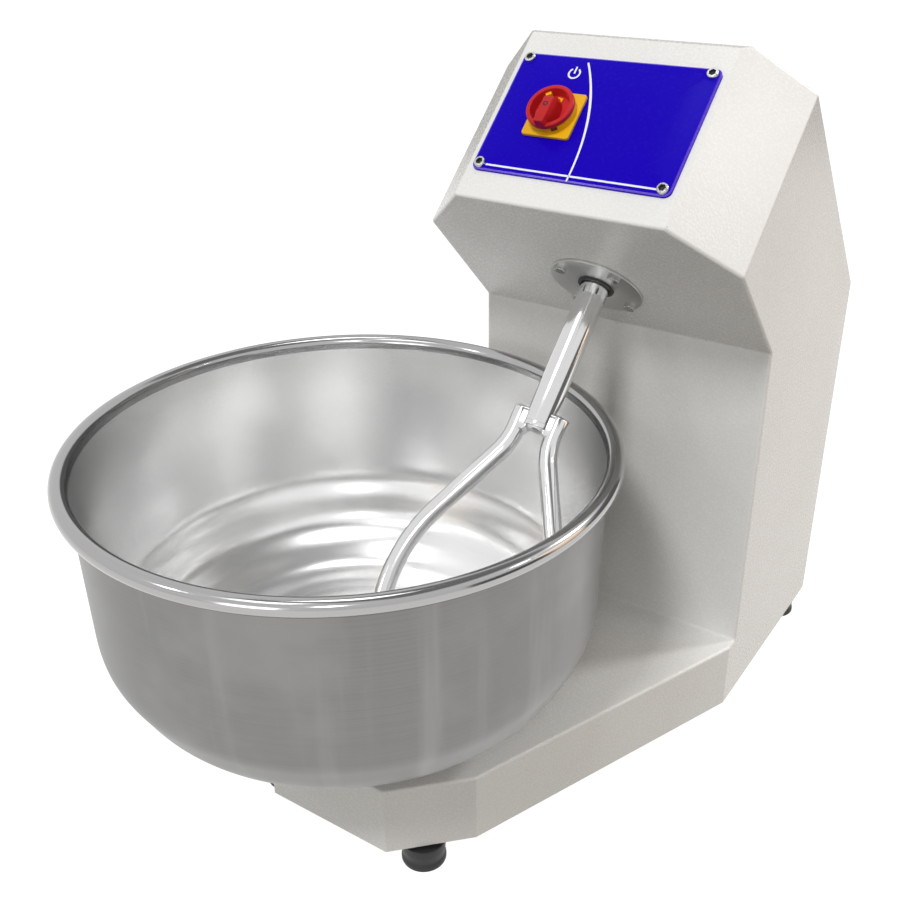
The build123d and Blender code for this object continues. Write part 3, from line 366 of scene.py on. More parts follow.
# %% [markdown]
# The body is off-white powder coat. The powder melts to a skin with a fine orange peel, two to three millimetres
# from crest to crest, that sparkles where a lamp is reflected at a slant. At this size a bump shows it as well as
# displacement would. A few dust specks are baked into the coat.

# %% Powder coat
COAT_WHITE = (0.80, 0.80, 0.785)
COAT_SHADE = (0.77, 0.77, 0.75)
SPECK_GREY = (0.36, 0.35, 0.33)
COAT_ROUGHNESS, COAT_SPECULAR = 0.35, 0.5
TONE_GRAINS, SPECK_GRAINS, PEEL_GRAINS = 7.0, 330.0, 430.0
TONE_FROM, SPECK_FROM, SPECK_FULL = 0.35, 0.890, 0.905
PEEL_GLOSS, PEEL_DEPTH, PEEL_STRENGTH = (0.22, 0.30), 2.4e-4, 0.8


def powder_coat_finish(name):
    """Off-white coat: orange-peel bump, slow change of tone and rare dark specks."""
    tree, shader = new_finish(name, COAT_WHITE, COAT_ROUGHNESS, Specular_IOR_Level=COAT_SPECULAR)
    where = coordinates(tree)
    slow = ramp(tree, noise(tree, where, TONE_GRAINS), TONE_FROM)
    speck = ramp(tree, noise(tree, where, SPECK_GRAINS, detail=0.0), SPECK_FROM, SPECK_FULL)
    tone = blend_colour(tree, speck, blend_colour(tree, slow, COAT_WHITE, COAT_SHADE), SPECK_GREY)
    peel = noise(tree, where, PEEL_GRAINS, rough=0.45)
    gloss = ramp(tree, peel, to_low=PEEL_GLOSS[0], to_high=PEEL_GLOSS[1])
    surface(tree, shader, tone, gloss, peel, PEEL_DEPTH, PEEL_STRENGTH)


powder_coat_finish("powder_coat")

# %% [markdown]
# The bowl is spun from stainless sheet with fine rings all round. Its inside is paler and its outside darker than
# one steel: partly a bright polish inside and a duller one outside, partly painted light and shade. The rings
# follow the surface, which noise in space can't do, so this finish reads the piece's own map: noise drawn out
# along u, round the bowl, and fine along v, up the wall. Anisotropy then spreads reflections across the rings,
# along a tangent from the same map. Other metals have an even grain.

# %% Spun, polished and plain metals
RING_STRETCH, STREAK_STRETCH, CLOUD_GRAINS = 3.0, (45.0, 2.0, 1.0), 9.0
RING_RANGE, STREAK_RANGE, CLOUD_FROM = (0.2, 0.8), (0.5, 0.8), 0.45
RING_GLOSS, QUARTER_TURN = 0.25, 0.25
METAL_GLOSS, GLOSS_GRAINS = 0.06, 6.0


def turned_steel_finish(name, colour, roughness, rings, anisotropy, depth, patches, streaks, grain):
    """Steel with fine rings round it in colour, gloss and bump, cloudy patches, and streaks of polish and painted
    highlight.
    """
    tree, shader = new_finish(
        name, colour, roughness, 1.0, Anisotropic=anisotropy, Anisotropic_Rotation=QUARTER_TURN)
    fine = noise(tree, coordinates(tree, (RING_STRETCH, rings, 1.0), uv=True), 1.0, detail=3.0, rough=0.6)
    cloud = noise(tree, coordinates(tree), CLOUD_GRAINS, detail=3.0, rough=0.55)
    tone = blend_colour(tree, ramp(tree, fine), scaled(colour, 1.0 - grain), colour)
    tone = blend_colour(tree, ramp(tree, cloud, CLOUD_FROM), tone, scaled(colour, 1.0 + patches))
    if streaks:
        # Paler streaks up the piece: partly polish marks, partly a painted highlight.
        polish_and_sheen_streaks = noise(tree, coordinates(tree, STREAK_STRETCH, uv=True), 1.0, detail=3.0, rough=0.55)
        tone = blend_colour(tree, ramp(tree, polish_and_sheen_streaks, *STREAK_RANGE), tone, scaled(colour, 1.0 + streaks))
    spread = RING_GLOSS * grain
    gloss = ramp(tree, fine, *RING_RANGE, roughness - spread, roughness + spread)
    surface(tree, shader, tone, gloss, fine, depth)
    tangent = node(tree, "Tangent", {}, direction_type="UV_MAP", uv_map="around")
    feed(tree, shader, {"Tangent": tangent.outputs["Tangent"]})


def plain_metal_finish(name, colour, roughness, metal, grains, depth, tint):
    """Metal or paint with an even grain: two tones, a little change of gloss and a fine bump."""
    tree, shader = new_finish(name, colour, roughness, metal)
    where = coordinates(tree)
    grain = noise(tree, where, grains, detail=3.0, rough=0.6)
    tone = blend_colour(tree, ramp(tree, grain), scaled(colour, tint), colour)
    gloss = ramp(tree, noise(tree, where, grains / GLOSS_GRAINS),
                 to_low=roughness - METAL_GLOSS, to_high=roughness + METAL_GLOSS)
    surface(tree, shader, tone, gloss, grain, depth)


FLANGE_GREY = (0.56, 0.56, 0.55)
# Colour, roughness, rings to the metre, anisotropy, depth of the rings in metres, patches, streaks, grain
TURNED_STEELS = {
    # One steel in three colours: inside paler, rim and outside darker, part polish, part painted light and shade.
    "bowl_steel": ((0.84, 0.84, 0.837), 0.25, 1500.0, 0.15, 2e-6, 0.03, 0.0, 0.04),
    "bowl_outside": ((0.23, 0.23, 0.229), 0.38, 900.0, 0.2, 5e-6, 0.12, 0.22, 0.10),
    "bowl_rim": ((0.42, 0.42, 0.42), 0.15, 500.0, 0.0, 2e-6, 0.0, 0.0, 0.04),
    "polished_steel": ((0.70, 0.70, 0.70), 0.10, 900.0, 0.0, 1e-6, 0.0, 0.0, 0.03),
    "flange_steel": (FLANGE_GREY, 0.34, 1200.0, 0.4, 1e-5, -0.12, 0.0, 0.16),
}
# Colour, roughness, share of metal, grains to the metre, depth of the grain in metres, share of the darker tone
PLAIN_METALS = {
    "zinc": ((0.60, 0.60, 0.585), 0.26, 1.0, 700.0, 2e-5, 0.85),
    "bolt_zinc": ((0.42, 0.42, 0.41), 0.20, 1.0, 500.0, 4e-6, 0.92),
    # Painted shade: dark metal for the panel screws' sockets and the handle screw's crown.
    "painted_shade_metal": ((0.05, 0.05, 0.05), 0.45, 1.0, 700.0, 2e-5, 0.85),
    "galvanised": ((0.50, 0.51, 0.51), 0.38, 1.0, 160.0, 2e-5, 0.72),
    "machined_steel": ((0.47, 0.47, 0.47), 0.30, 1.0, 900.0, 2e-5, 0.85),
    "plain_steel": (FLANGE_GREY, 0.32, 1.0, 600.0, 2e-5, 0.85),
    "cast_iron": ((0.085, 0.088, 0.092), 0.62, 0.35, 500.0, 2.5e-4, 0.7),
    "motor_paint": ((0.10, 0.115, 0.135), 0.45, 0.0, 380.0, 1e-4, 0.8),
}
for name, values in TURNED_STEELS.items():
    turned_steel_finish(name, *values)
for name, values in PLAIN_METALS.items():
    plain_metal_finish(name, *values)

# %% [markdown]
# The switch is moulded in yellow and red plastic with a fine spark-eroded grain, the feet are black rubber, and
# the panel is a glossy blue sheet. Each has its own colour, a slight mottling and a bump of a few hundredths of a
# millimetre. Plain colours would do from afar, but close to, the grain is what tells plastic, rubber and sheet
# apart.

# %% Plastics, rubber and the blue panel
MOTTLE_GRAINS, MOULD_GLOSS = 25.0, 0.05


def moulded_finish(name, colour, roughness, grains, depth, tint, specular):
    """Moulded plastic or rubber: close-grained mottling, change of gloss and a fine bump."""
    tree, shader = new_finish(name, colour, roughness, Specular_IOR_Level=specular)
    where = coordinates(tree)
    grain = noise(tree, where, grains)
    slow = ramp(tree, noise(tree, where, MOTTLE_GRAINS))
    tone = blend_colour(tree, slow, scaled(colour, tint), colour)
    gloss = ramp(tree, grain, to_low=roughness - MOULD_GLOSS, to_high=roughness + MOULD_GLOSS)
    surface(tree, shader, tone, gloss, grain, depth)


# Colour, roughness, grains to the metre, depth of the grain in metres, share of the darker tone, specular level
PLASTICS = {
    "foot_rubber": ((0.012, 0.012, 0.013), 0.50, 900.0, 6e-5, 0.88, 0.5),
    "black_plastic": ((0.018, 0.018, 0.019), 0.42, 1200.0, 4e-5, 0.88, 0.5),
    "belt_rubber": ((0.016, 0.016, 0.016), 0.62, 700.0, 8e-5, 0.88, 0.5),
    "switch_yellow": ((0.86, 0.46, 0.008), 0.36, 1400.0, 3e-5, 0.88, 0.22),
    "switch_red": ((0.52, 0.014, 0.018), 0.36, 1400.0, 3e-5, 0.88, 0.22),
    # Painted shade: the red inside of the switch, seen in shade through the collar's windows.
    "window_shade_red": ((0.12, 0.004, 0.006), 0.50, 1400.0, 3e-5, 0.88, 0.5),
    "panel_blue": ((0.0105, 0.0006, 0.47), 0.24, 260.0, 0.0, 0.985, 0.04),
    "panel_edge": ((0.10, 0.04, 0.62), 0.25, 500.0, 1e-5, 0.94, 0.5),
    "print_white": ((0.86, 0.86, 0.88), 0.40, 1500.0, 1e-5, 0.97, 0.5),
}
for name, values in PLASTICS.items():
    moulded_finish(name, *values)
print("made", len(palette), "finishes")

# %% [markdown]
# The housing and the drive inside it keep their CAD shapes: folded sheet with rounded bends, gears, belt and
# motor. They could be built again as grids, but their shapes are right already, so each node only gets the finish
# of its slot. A CAD node has no map round it, so ringed steel becomes plain steel there.

# %% Finishes for the CAD nodes
for part in frame["nodes"].values():
    slot = part.material_slots[0].material.name
    part.material_slots[0].material = palette["plain_steel" if slot in TURNED_STEELS else slot]
print("dressed", len(frame["nodes"]), "CAD nodes")

# %% [markdown]
# The bowl is spun from one sheet: a flat floor, a round corner, a nearly straight wall and a rolled rim. Its half
# section runs from the middle of the floor up the inside, over the roll and down the outside, and is carried
# round the bowl's axis. The Screw modifier could turn it as well, but a grid gives the map in metres that the
# rings need. The spinning tool leaves broad shallow waves in the corner, a millimetre or two deep, and they break
# the reflections there into rings.

# %% Bowl
RIM_RADIUS, RIM_BEAD, RIM_HEIGHT = 250.0, 8.0, 389.5
BOWL_DEPTH, BOWL_WALL, BOWL_FLAT = 255.0, 1.5, 108.0
WALL_HEIGHT, WALL_TAPER = 141.0, 0.014
ROLL_START, ROLL_END, ROLL_GAP = 180.0, -140.0, 1.0
WAVE_DEPTH, OUTER_WAVE_DEPTH, WAVE_LENGTH = 1.7, 0.85, 56.0
WAVES_FROM, WAVES_TO, WAVES_RISE, WAVES_FADE = 129.0, 303.0, 20.0, 40.0
FLOOR_STEPS, CORNER_STEPS, WALL_STEPS, ROLL_STEPS, BOWL_STEPS = 24, 96, 30, 34, 256

bowl_frame = frame_at((*joint["bowl_spin"]["pos_m"][:2], 0.0))


def bowl_side(inset, waves):
    """The half section from the floor's middle to the rim's height, with waves of that depth in its corner."""
    top = RIM_RADIUS - RIM_BEAD + BOWL_WALL - inset
    knee = top - WALL_TAPER * WALL_HEIGHT
    low = RIM_HEIGHT - BOWL_DEPTH + inset
    lean = np.linspace(0, np.pi / 2, CORNER_STEPS)
    corner = np.stack([
        BOWL_FLAT + (knee - BOWL_FLAT) * np.sin(lean),
        RIM_HEIGHT - WALL_HEIGHT - (BOWL_DEPTH - WALL_HEIGHT - inset) * np.cos(lean),
    ], -1)
    out = np.linspace(0, 1, FLOOR_STEPS)[:-1, None]
    floor = np.array([0.0, low]) + out * np.array([BOWL_FLAT, 0.0])
    up = np.linspace(0, 1, WALL_STEPS)[1:, None]
    wall = corner[-1] + up * (np.array([top, RIM_HEIGHT]) - corner[-1])
    side = np.concatenate([floor, corner, wall])
    run = run_along(side)
    near = held((run - WAVES_FROM) / WAVES_RISE) * held((WAVES_TO - run) / WAVES_FADE)
    wave = waves * near * np.sin(2 * np.pi * (run - WAVES_FROM) / WAVE_LENGTH)
    return side + wave[:, None] * beside(side)


def arc(middle, radius, first, last, steps=40):
    """Points on a circle from one angle to another, in degrees."""
    angle = np.radians(np.linspace(first, last, steps))
    return np.array(middle) + radius * np.stack([np.cos(angle), np.sin(angle)], -1)


inside, outside = bowl_side(BOWL_WALL, WAVE_DEPTH), bowl_side(0.0, OUTER_WAVE_DEPTH)
roll = arc((RIM_RADIUS, RIM_HEIGHT), RIM_BEAD, ROLL_START, ROLL_END, ROLL_STEPS)[1:]
tucked = outside[outside[:, 1] < roll[-1, 1] - ROLL_GAP]
bowl_grid, _ = turned(np.concatenate([inside, roll, tucked[::-1]]), bowl_frame, BOWL_STEPS)
bowl_rows = np.repeat([0, 1, 2], [len(inside) - 2, len(roll) + 2, len(tucked) - 1])
bowl_sheet = (bowl_grid, True, np.repeat(bowl_rows, BOWL_STEPS))
# Inside, roll and outside take the three bowl colours: partly polish, partly painted light and shade.
make_piece("bowl_shell", [bowl_sheet], "bowl_set", "bowl_steel", ["bowl"],
           ["bowl_steel", "bowl_rim", "bowl_outside"])

# %% [markdown]
# The shaft comes out of the head at a right angle to its underside. It is ground and polished round bar, so it is
# turned here from its half section, with the thinner journal at its upper end and small rounded edges. Cylinders
# with a Bevel modifier could look the same, but their maps wouldn't run on from one to the next, as the fine
# rings of the polish do.

# %% Fork shaft
SHAFT_RADIUS, JOURNAL_RADIUS = 14.0, 9.9
SHAFT_TOP, JOURNAL_TOP = -123.8, -135.0
SHAFT_EASE, SHAFT_END_EASE = 1.0, 0.5
TINE_END, FORK_LENGTH, YOKE_LENGTH, YOKE_BOTTOM_WALL = 433.98, 294.5, 17.5, 5.0
YOKE_START = TINE_END - FORK_LENGTH
SHAFT_END = YOKE_START + YOKE_LENGTH - YOKE_BOTTOM_WALL
FORK_ANGLE = -9.0

shaft_frame = joint_frame("fork_spin")
fork_frame = moved(shaft_frame, spin=FORK_ANGLE)
shaft_section = eased([
    (0, JOURNAL_TOP), (JOURNAL_RADIUS, JOURNAL_TOP), (JOURNAL_RADIUS, SHAFT_TOP), (SHAFT_RADIUS, SHAFT_TOP),
    (SHAFT_RADIUS, SHAFT_END), (0, SHAFT_END),
], [SHAFT_EASE, 0.0, SHAFT_EASE, SHAFT_END_EASE])
make_piece("shaft_bar", [turned(shaft_section, shaft_frame, 64)], "fork", "polished_steel", ["fork_shaft"])

# %% [markdown]
# The two tines are bent from round bar: a straight neck along the shaft, a splay outwards, a long easy bend and a
# run back in to a rounded end. The path is a line of straight runs with its corners rounded, and a circle is
# carried along it. A curve with a round bevel could do that too, but its end would be flat, and here it is a half
# ball.

# %% Tines
TINE_RADIUS, TINE_OFFSET, TINE_STRAIGHT, TINE_SPLAY = 9.0, 18.8, 18.4, 26.4
TINE_TIP_RUN, NECK_BEND, BELLY_BEND, BEND_STEPS = 104.8, 64.0, 157.0, 28


def tine_path(side):
    """Across and along the shaft: down from the yoke, splayed to the belly and drawn in to the end."""
    start, bend_at = YOKE_START + YOKE_LENGTH, TINE_END - TINE_TIP_RUN
    knee = start + TINE_STRAIGHT
    slope = math.tan(math.radians(TINE_SPLAY))
    belly = TINE_OFFSET + (bend_at - knee) * slope
    tip = belly - TINE_TIP_RUN * slope
    corners = [(TINE_OFFSET, start), (TINE_OFFSET, knee), (belly, bend_at), (tip, TINE_END)]
    return eased(corners, [NECK_BEND, BELLY_BEND], BEND_STEPS) * np.array([side, 1.0])


for side, name in ((-1, "left"), (1, "right")):
    tine = bar_along(tine_path(side), TINE_RADIUS, fork_frame)
    make_piece(f"tine_{name}", [tine], "fork", "polished_steel", [f"fork_tine_{name}"])

# %% [markdown]
# The yoke joins shaft and tines. The tines' upper ends stand beside the shaft with rounded tops, and a short flat
# bar across them is welded to all three. That bar is a rounded section carried across, and its lower end runs
# down in a small fillet to each tine, as the ground weld does. A Boolean could join plain bars, but it would
# leave a sharp line where the weld is ground smooth.

# %% Yoke
POST_EASE, HUB_EASE, BAR_THICK, BAR_EASE = 3.0, 1.0, 17.0, 2.5
WELD_FILLET = 6.0
LEAST_CORNER = 0.05


def rounded_outline(width, height, corner, steps=8):
    """Points round a rectangle with round corners, about its middle."""
    angle = np.radians(np.concatenate([np.linspace(0, 90, steps) + start for start in (0, 90, 180, 270)]))
    x_side = np.repeat([1, -1, -1, 1], steps) * (width / 2 - corner)
    y_side = np.repeat([1, 1, -1, -1], steps) * (height / 2 - corner)
    return np.stack([x_side + corner * np.cos(angle), y_side + corner * np.sin(angle)], -1)


def slab(width, height, corner, edges, where, steps=8):
    """A slab with round corners: for each (inset, level) of its edge, the outline drawn in at that level."""
    rows = [np.column_stack([
        rounded_outline(width - 2 * inset, height - 2 * inset, max(corner - inset, LEAST_CORNER), steps),
        np.full(4 * steps, level),
    ]) for inset, level in edges]
    return closed(np.array(rows), where)


def edge_round(low, high, radius, steps=5):
    """Insets and levels of an edge rounded at the bottom and the top."""
    lean = np.linspace(0, np.pi / 2, steps)
    bottom = np.stack([radius * (1 - np.sin(lean)), low + radius * (1 - np.cos(lean))], -1)
    top = np.stack([radius * (1 - np.cos(lean)), high - radius * (1 - np.sin(lean))], -1)
    return np.concatenate([bottom, top])


def crosspiece(where, steps=49):
    """The flat bar across the fork, from tine to tine; its lower end drops in a quarter circle at each tine."""
    across = np.linspace(-TINE_OFFSET, TINE_OFFSET, steps)
    beside = TINE_OFFSET - TINE_RADIUS - WELD_FILLET
    into = np.clip(np.abs(across) - beside, 0, WELD_FILLET)
    low_end = YOKE_LENGTH + WELD_FILLET - np.sqrt(WELD_FILLET ** 2 - into ** 2)
    sections = np.array([
        rounded_outline(BAR_THICK, length, BAR_EASE, 5) + (0, length / 2) for length in low_end])
    x = np.broadcast_to(across[:, None, None], (*sections.shape[:2], 1))
    return closed(np.concatenate([x, sections], -1), where)


def peg_section(radius, low, high, eases):
    """The half section of a round peg between two levels, its two edges rounded by the two radii."""
    return eased([(0, low), (radius, low), (radius, high), (0, high)], eases)


yoke_frame = moved(fork_frame, z=YOKE_START)
post_section = peg_section(TINE_RADIUS, 0, YOKE_LENGTH, [POST_EASE, 0.0])
hub_section = peg_section(SHAFT_RADIUS, YOKE_LENGTH - YOKE_BOTTOM_WALL, YOKE_LENGTH, [0.0, HUB_EASE])
posts = [turned(post_section, moved(yoke_frame, x=side * TINE_OFFSET), 32) for side in (1, -1)]
yoke_sheets = [crosspiece(yoke_frame), turned(hub_section, yoke_frame, 64), *posts]
make_piece("yoke_block", yoke_sheets, "fork", "polished_steel", ["fork_yoke"])

# %% [markdown]
# A round flange closes the hole in the head's underside and holds the shaft seal, whose black lip stands a little
# out of the bore. Four hexagon bolts go through it into the gearcase. A bolt head's chamfer is a cone that cuts
# its corners, so its radius is the smaller of hexagon and cone at each height. A Boolean of the two would give
# the same head with untidy faces.

# %% Flange and its bolts
FLANGE_RADIUS, FLANGE_THICK, FLANGE_BORE, FLANGE_PCD = 47.0, 3.0, 17.0, 79.0
FLANGE_EASES = [0.2, 0.5, 0.5]
BOLT_CORNER, BOLT_HEAD, BOLT_SHANK, BOLT_REACH = 6.2, 4.4, 3.0, 6.0
BOLT_TURNS = {45.0: 0.0, 135.0: 13.0, 225.0: 26.0, 315.0: 39.0}
CHAMFER_TOP, CHAMFER_RUN, TOP_RINGS = 0.97, 1.9, (0.8, 0.3)
HEAD_START, HEAD_LEVELS = 0.05, 14
LIP_BORE, LIP_RADIUS, LIP_OUT, LIP_LOW = 14.4, 18.2, 1.6, 0.5
LIP_GAP, LIP_LIFT, LIP_EASES = 0.1, 0.05, [0.2, 0.0, 0.0, 0.8, 0.5]

flange_section = eased([
    (FLANGE_BORE, 0.0), (FLANGE_RADIUS, 0.0), (FLANGE_RADIUS, FLANGE_THICK), (FLANGE_BORE, FLANGE_THICK),
    (FLANGE_BORE, 0.0),
], FLANGE_EASES)
make_piece("flange_plate", [turned(flange_section, shaft_frame, 128)], "machine", "flange_steel", ["shaft_flange"])


def hexagon(flat, angle):
    """The radius at an angle of a hexagon whose flats are that far from its middle."""
    return flat / np.cos(angle % (math.pi / 3) - math.pi / 6)


def hex_bolt(where, steps=72):
    """A bolt: hexagon radius cut by a chamfer cone, with the shank below."""
    angle = whole_turn(steps)
    flat = BOLT_CORNER * math.cos(math.pi / 6)
    levels = np.concatenate([[0.0], np.linspace(HEAD_START, BOLT_HEAD, HEAD_LEVELS)])[:, None]
    cone = CHAMFER_TOP * flat + CHAMFER_RUN * (BOLT_HEAD - levels)
    head = np.minimum(hexagon(flat, angle + math.pi / 6), cone)
    radius = np.concatenate([np.full((2, steps), BOLT_SHANK), head, *(share * head[-1:] for share in TOP_RINGS)])
    level = np.concatenate([[[-BOLT_REACH], [0.0]], levels, [[BOLT_HEAD]] * len(TOP_RINGS)])
    return closed(ring(radius, angle, level), where)


bolt_sheets = [
    hex_bolt(moved_out(shaft_frame, FLANGE_PCD / 2, degrees, FLANGE_THICK, spin))
    for degrees, spin in BOLT_TURNS.items()
]
make_piece("flange_bolt_set", bolt_sheets, "machine", "zinc", ["flange_bolts"], ["bolt_zinc"])
lip_outside, lip_top = FLANGE_BORE - LIP_GAP, FLANGE_THICK + LIP_OUT
lip_section = eased([
    (LIP_BORE, LIP_LOW), (lip_outside, LIP_LOW), (lip_outside, FLANGE_THICK),
    (LIP_RADIUS, FLANGE_THICK + LIP_LIFT), (LIP_RADIUS, lip_top), (LIP_BORE, lip_top), (LIP_BORE, LIP_LOW),
], LIP_EASES)
make_piece("seal_lip", [turned(lip_section, shaft_frame)], "machine", "foot_rubber")

# %% [markdown]
# The control panel is a blue sheet with round corners, held by four screws. Its edge is bevelled and catches a
# paler line of light, so the bevel rows take a second finish. The sheet is a stack of outlines, drawn in towards
# the top. A Bevel modifier could cut the edge as well, but with rows it is plain which cells belong to it.

# %% Control panel
PANEL_WIDTH, PANEL_HEIGHT, PANEL_CORNER, PANEL_THICK = 196.0, 131.0, 7.0, 3.0
PANEL_X, PANEL_Y = 0.0, 94.0
SWITCH_X, SWITCH_Y = -38.0, 93.0
# Each row's inset, and its depth under the face: the straight edge, the bevel, and two rows on the face
PANEL_EDGE = [(0.0, PANEL_THICK), (0.0, 1.0), (0.3, 0.6), (1.6, 0.05), (1.8, 0.0), (30.0, 0.0), (64.0, 0.0)]
BEVEL_ROWS = slice(2, 4)

switch_frame = joint_frame("switch_turn")
panel_frame = moved(switch_frame, PANEL_X - SWITCH_X, PANEL_Y - SWITCH_Y, -PANEL_THICK)
panel_rows = [(inset, PANEL_THICK - depth) for inset, depth in PANEL_EDGE]
panel_grid, _ = slab(PANEL_WIDTH, PANEL_HEIGHT, PANEL_CORNER, panel_rows, panel_frame, 10)
panel_cells = np.zeros((len(panel_grid) - 1, panel_grid.shape[1]), int)
panel_cells[BEVEL_ROWS] = 1
make_piece("panel_sheet", [(panel_grid, True, panel_cells.ravel())], "machine", "panel_blue", ["control_panel"],
           ["panel_blue", "panel_edge"], crease=15.0)

# %% [markdown]
# Thin white lines are printed on the panel: a ruled one along the bottom, a bowed one that sets the switch apart,
# and a power sign. Ink stands a few hundredths of a millimetre proud, so each line is a very low ribbon. A mask
# in the panel's finish could draw them too, but its thin lines would blur when the finish is baked to an image.

# %% White print
PRINT_HEIGHT, PRINT_SUNK = 0.08, 0.02
RULE_Y, RULE_LEFT, RULE_RIGHT = -59.7, -84.0, 84.8
BOW_TOP, BOW_MIDDLE, BOW_FOOT = (-29.9, 59.5), (-5.2, 0.5), (1.2, -65.0)
BOW_WIDTHS, BOW_STEPS = {0.0: 1.7, 0.4: 2.4, 1.0: 1.6}, 40
POWER_SIGN, POWER_RADIUS, POWER_FROM, POWER_TO = (-38.8, 46.8), 5.4, 125, 415
POWER_STROKE = [(0, -0.3), (0, 7.2)]
RULE_WIDTH, SIGN_WIDTH = 1.9, 1.7


def ribbon(path, width, where):
    """A low flat ribbon along a path in the frame's plane; width is a number or one per point."""
    path = np.asarray(path, float)
    side = beside(path) * np.broadcast_to(width, len(path))[:, None] / 2
    low, high = np.full(len(path), -PRINT_SUNK), np.full(len(path), PRINT_HEIGHT)
    corners = [(path + side, low), (path + side, high), (path - side, high), (path - side, low)]
    local = np.stack([np.column_stack([xy, z]) for xy, z in corners], axis=1)
    return closed(local, where)


def bow(first, through, last, share):
    """A smooth bow from one point to another that passes through a third half way."""
    first, through, last = (np.array(p, float) for p in (first, through, last))
    pull = 2 * through - 0.5 * (first + last)
    t = share[:, None]
    return (1 - t) ** 2 * first + 2 * t * (1 - t) * pull + t ** 2 * last


print_frame = moved(panel_frame, z=PANEL_THICK)
bow_share = np.linspace(0, 1, BOW_STEPS)
bow_width = np.interp(bow_share, list(BOW_WIDTHS), list(BOW_WIDTHS.values()))
print_lines = [
    ribbon([(RULE_LEFT, RULE_Y), (RULE_RIGHT, RULE_Y)], RULE_WIDTH, print_frame),
    ribbon(bow(BOW_TOP, BOW_MIDDLE, BOW_FOOT, bow_share), bow_width, print_frame),
    ribbon(arc(POWER_SIGN, POWER_RADIUS, POWER_FROM, POWER_TO), SIGN_WIDTH, print_frame),
    ribbon(np.array(POWER_SIGN) + POWER_STROKE, SIGN_WIDTH, print_frame),
]
make_piece("panel_print", print_lines, "machine", "panel_blue", finishes=["print_white"])

# %% [markdown]
# The panel's screws have round heads with a hexagon socket, and the handle's small screw has a cross recess. A
# head is a height over a disc: a flat crown with a rounded edge, less the recess. The recess could be cut with a
# second shape, but a height gives both in one sheet. Light hardly reaches into a socket, so the panel screws'
# sockets take a dark finish of their own: painted shade.

# %% Screw heads
PANEL_SCREWS = (180.0, 118.0)
PANEL_HEAD, PANEL_HEAD_HEIGHT, PANEL_SOCKET, PANEL_SHANK, PANEL_SPIN = 5.3, 3.4, 2.0, 3.0, 31.0
SOCKET_FLAT, CROSS_ARM, CROSS_HALF, RECESS_BORDER, RECESS_FROM = 0.50, 0.62, 0.15, 0.06, 0.3
CROWN_FLAT, EDGE_FIRST, EDGE_DROP, SCREW_REACH = 0.80, 0.83, 0.5, 8.0
CROWN_STEPS, EDGE_STEPS = 26, 9


def within(limit, reach, radius):
    """1 where the reach is inside its limit, falling to 0 over a thin border."""
    return held((limit - reach) / (RECESS_BORDER * radius) + 1)


def socket_share(reach, angle, radius):
    """1 inside a hexagon about the middle."""
    return within(hexagon(SOCKET_FLAT * radius, angle), reach, radius)


def cross_share(reach, angle, radius):
    """1 inside two crossed slots."""
    x, y = np.abs(reach * np.cos(angle)), np.abs(reach * np.sin(angle))
    arm, half = CROSS_ARM * radius, CROSS_HALF * radius
    along_x = within(half, y, radius) * within(arm, x, radius)
    along_y = within(half, x, radius) * within(arm, y, radius)
    return np.maximum(along_x, along_y)


def screw_head(where, radius, height, depth, shank, recess_share, steps=96):
    """A round screw head: crown height over (radius, angle), a recess sunk into it and the shank below."""
    flat, edge = np.linspace(0, CROWN_FLAT, CROWN_STEPS), np.linspace(EDGE_FIRST, 1.0, EDGE_STEPS)
    out = np.concatenate([flat, edge])[:, None]
    angle = whole_turn(steps)
    share = recess_share(out * radius, angle, radius)
    over = held((out - CROWN_FLAT) / (1 - CROWN_FLAT))
    level = height * (1 - EDGE_DROP * (1 - np.sqrt(1 - over ** 2)))
    top = ring(out * radius, angle, level - share * depth)
    skirt = np.array([(radius, 0.0), (shank, 0.0), (shank, -SCREW_REACH), (0.0, -SCREW_REACH)])
    grid = np.concatenate([top, ring(skirt[:, :1], angle, skirt[:, 1:])])
    recess = np.zeros((len(grid) - 1, steps), int)
    recess[:len(out) - 1] = (share[:-1] > RECESS_FROM) & (share[1:] > RECESS_FROM)
    return placed(grid, where), True, recess.ravel()


screw_spots = [(i * PANEL_SCREWS[0] / 2, j * PANEL_SCREWS[1] / 2) for i in (-1, 1) for j in (-1, 1)]
panel_screw_sheets = [
    screw_head(moved(print_frame, x, y, spin=PANEL_SPIN * k), PANEL_HEAD, PANEL_HEAD_HEIGHT, PANEL_SOCKET,
               PANEL_SHANK, socket_share)
    for k, (x, y) in enumerate(screw_spots)
]
# Painted shade in the sockets: they take the dark finish.
make_piece("panel_screw_set", panel_screw_sheets, "machine", "zinc", ["panel_screws"], ["zinc", "painted_shade_metal"])

# %% [markdown]
# The main switch has a square yellow plate with a round collar, and a red handle that turns on it. The collar has
# square windows low on its side that show the red inside, in shade. Open holes would need an inside to be built
# behind them, so the collar's radius drops there instead, and the cells are painted dark red: painted shade.

# %% Switch plate and collar
PLATE_SIDE, PLATE_THICK, PLATE_CORNER, PLATE_EASE = 48.0, 3.6, 3.0, 0.9
COLLAR_RADIUS, COLLAR_BORE, COLLAR_HEIGHT = 21.0, 19.0, 6.8
COLLAR_SUNK, COLLAR_LEVELS = 0.3, 31
WINDOW_ANGLES, WINDOW_HALF = (-63.0, -123.0, 117.0, 57.0), 9.5
WINDOW_LOW, WINDOW_HIGH, WINDOW_STEP = 4.2, 10.1, 1.2


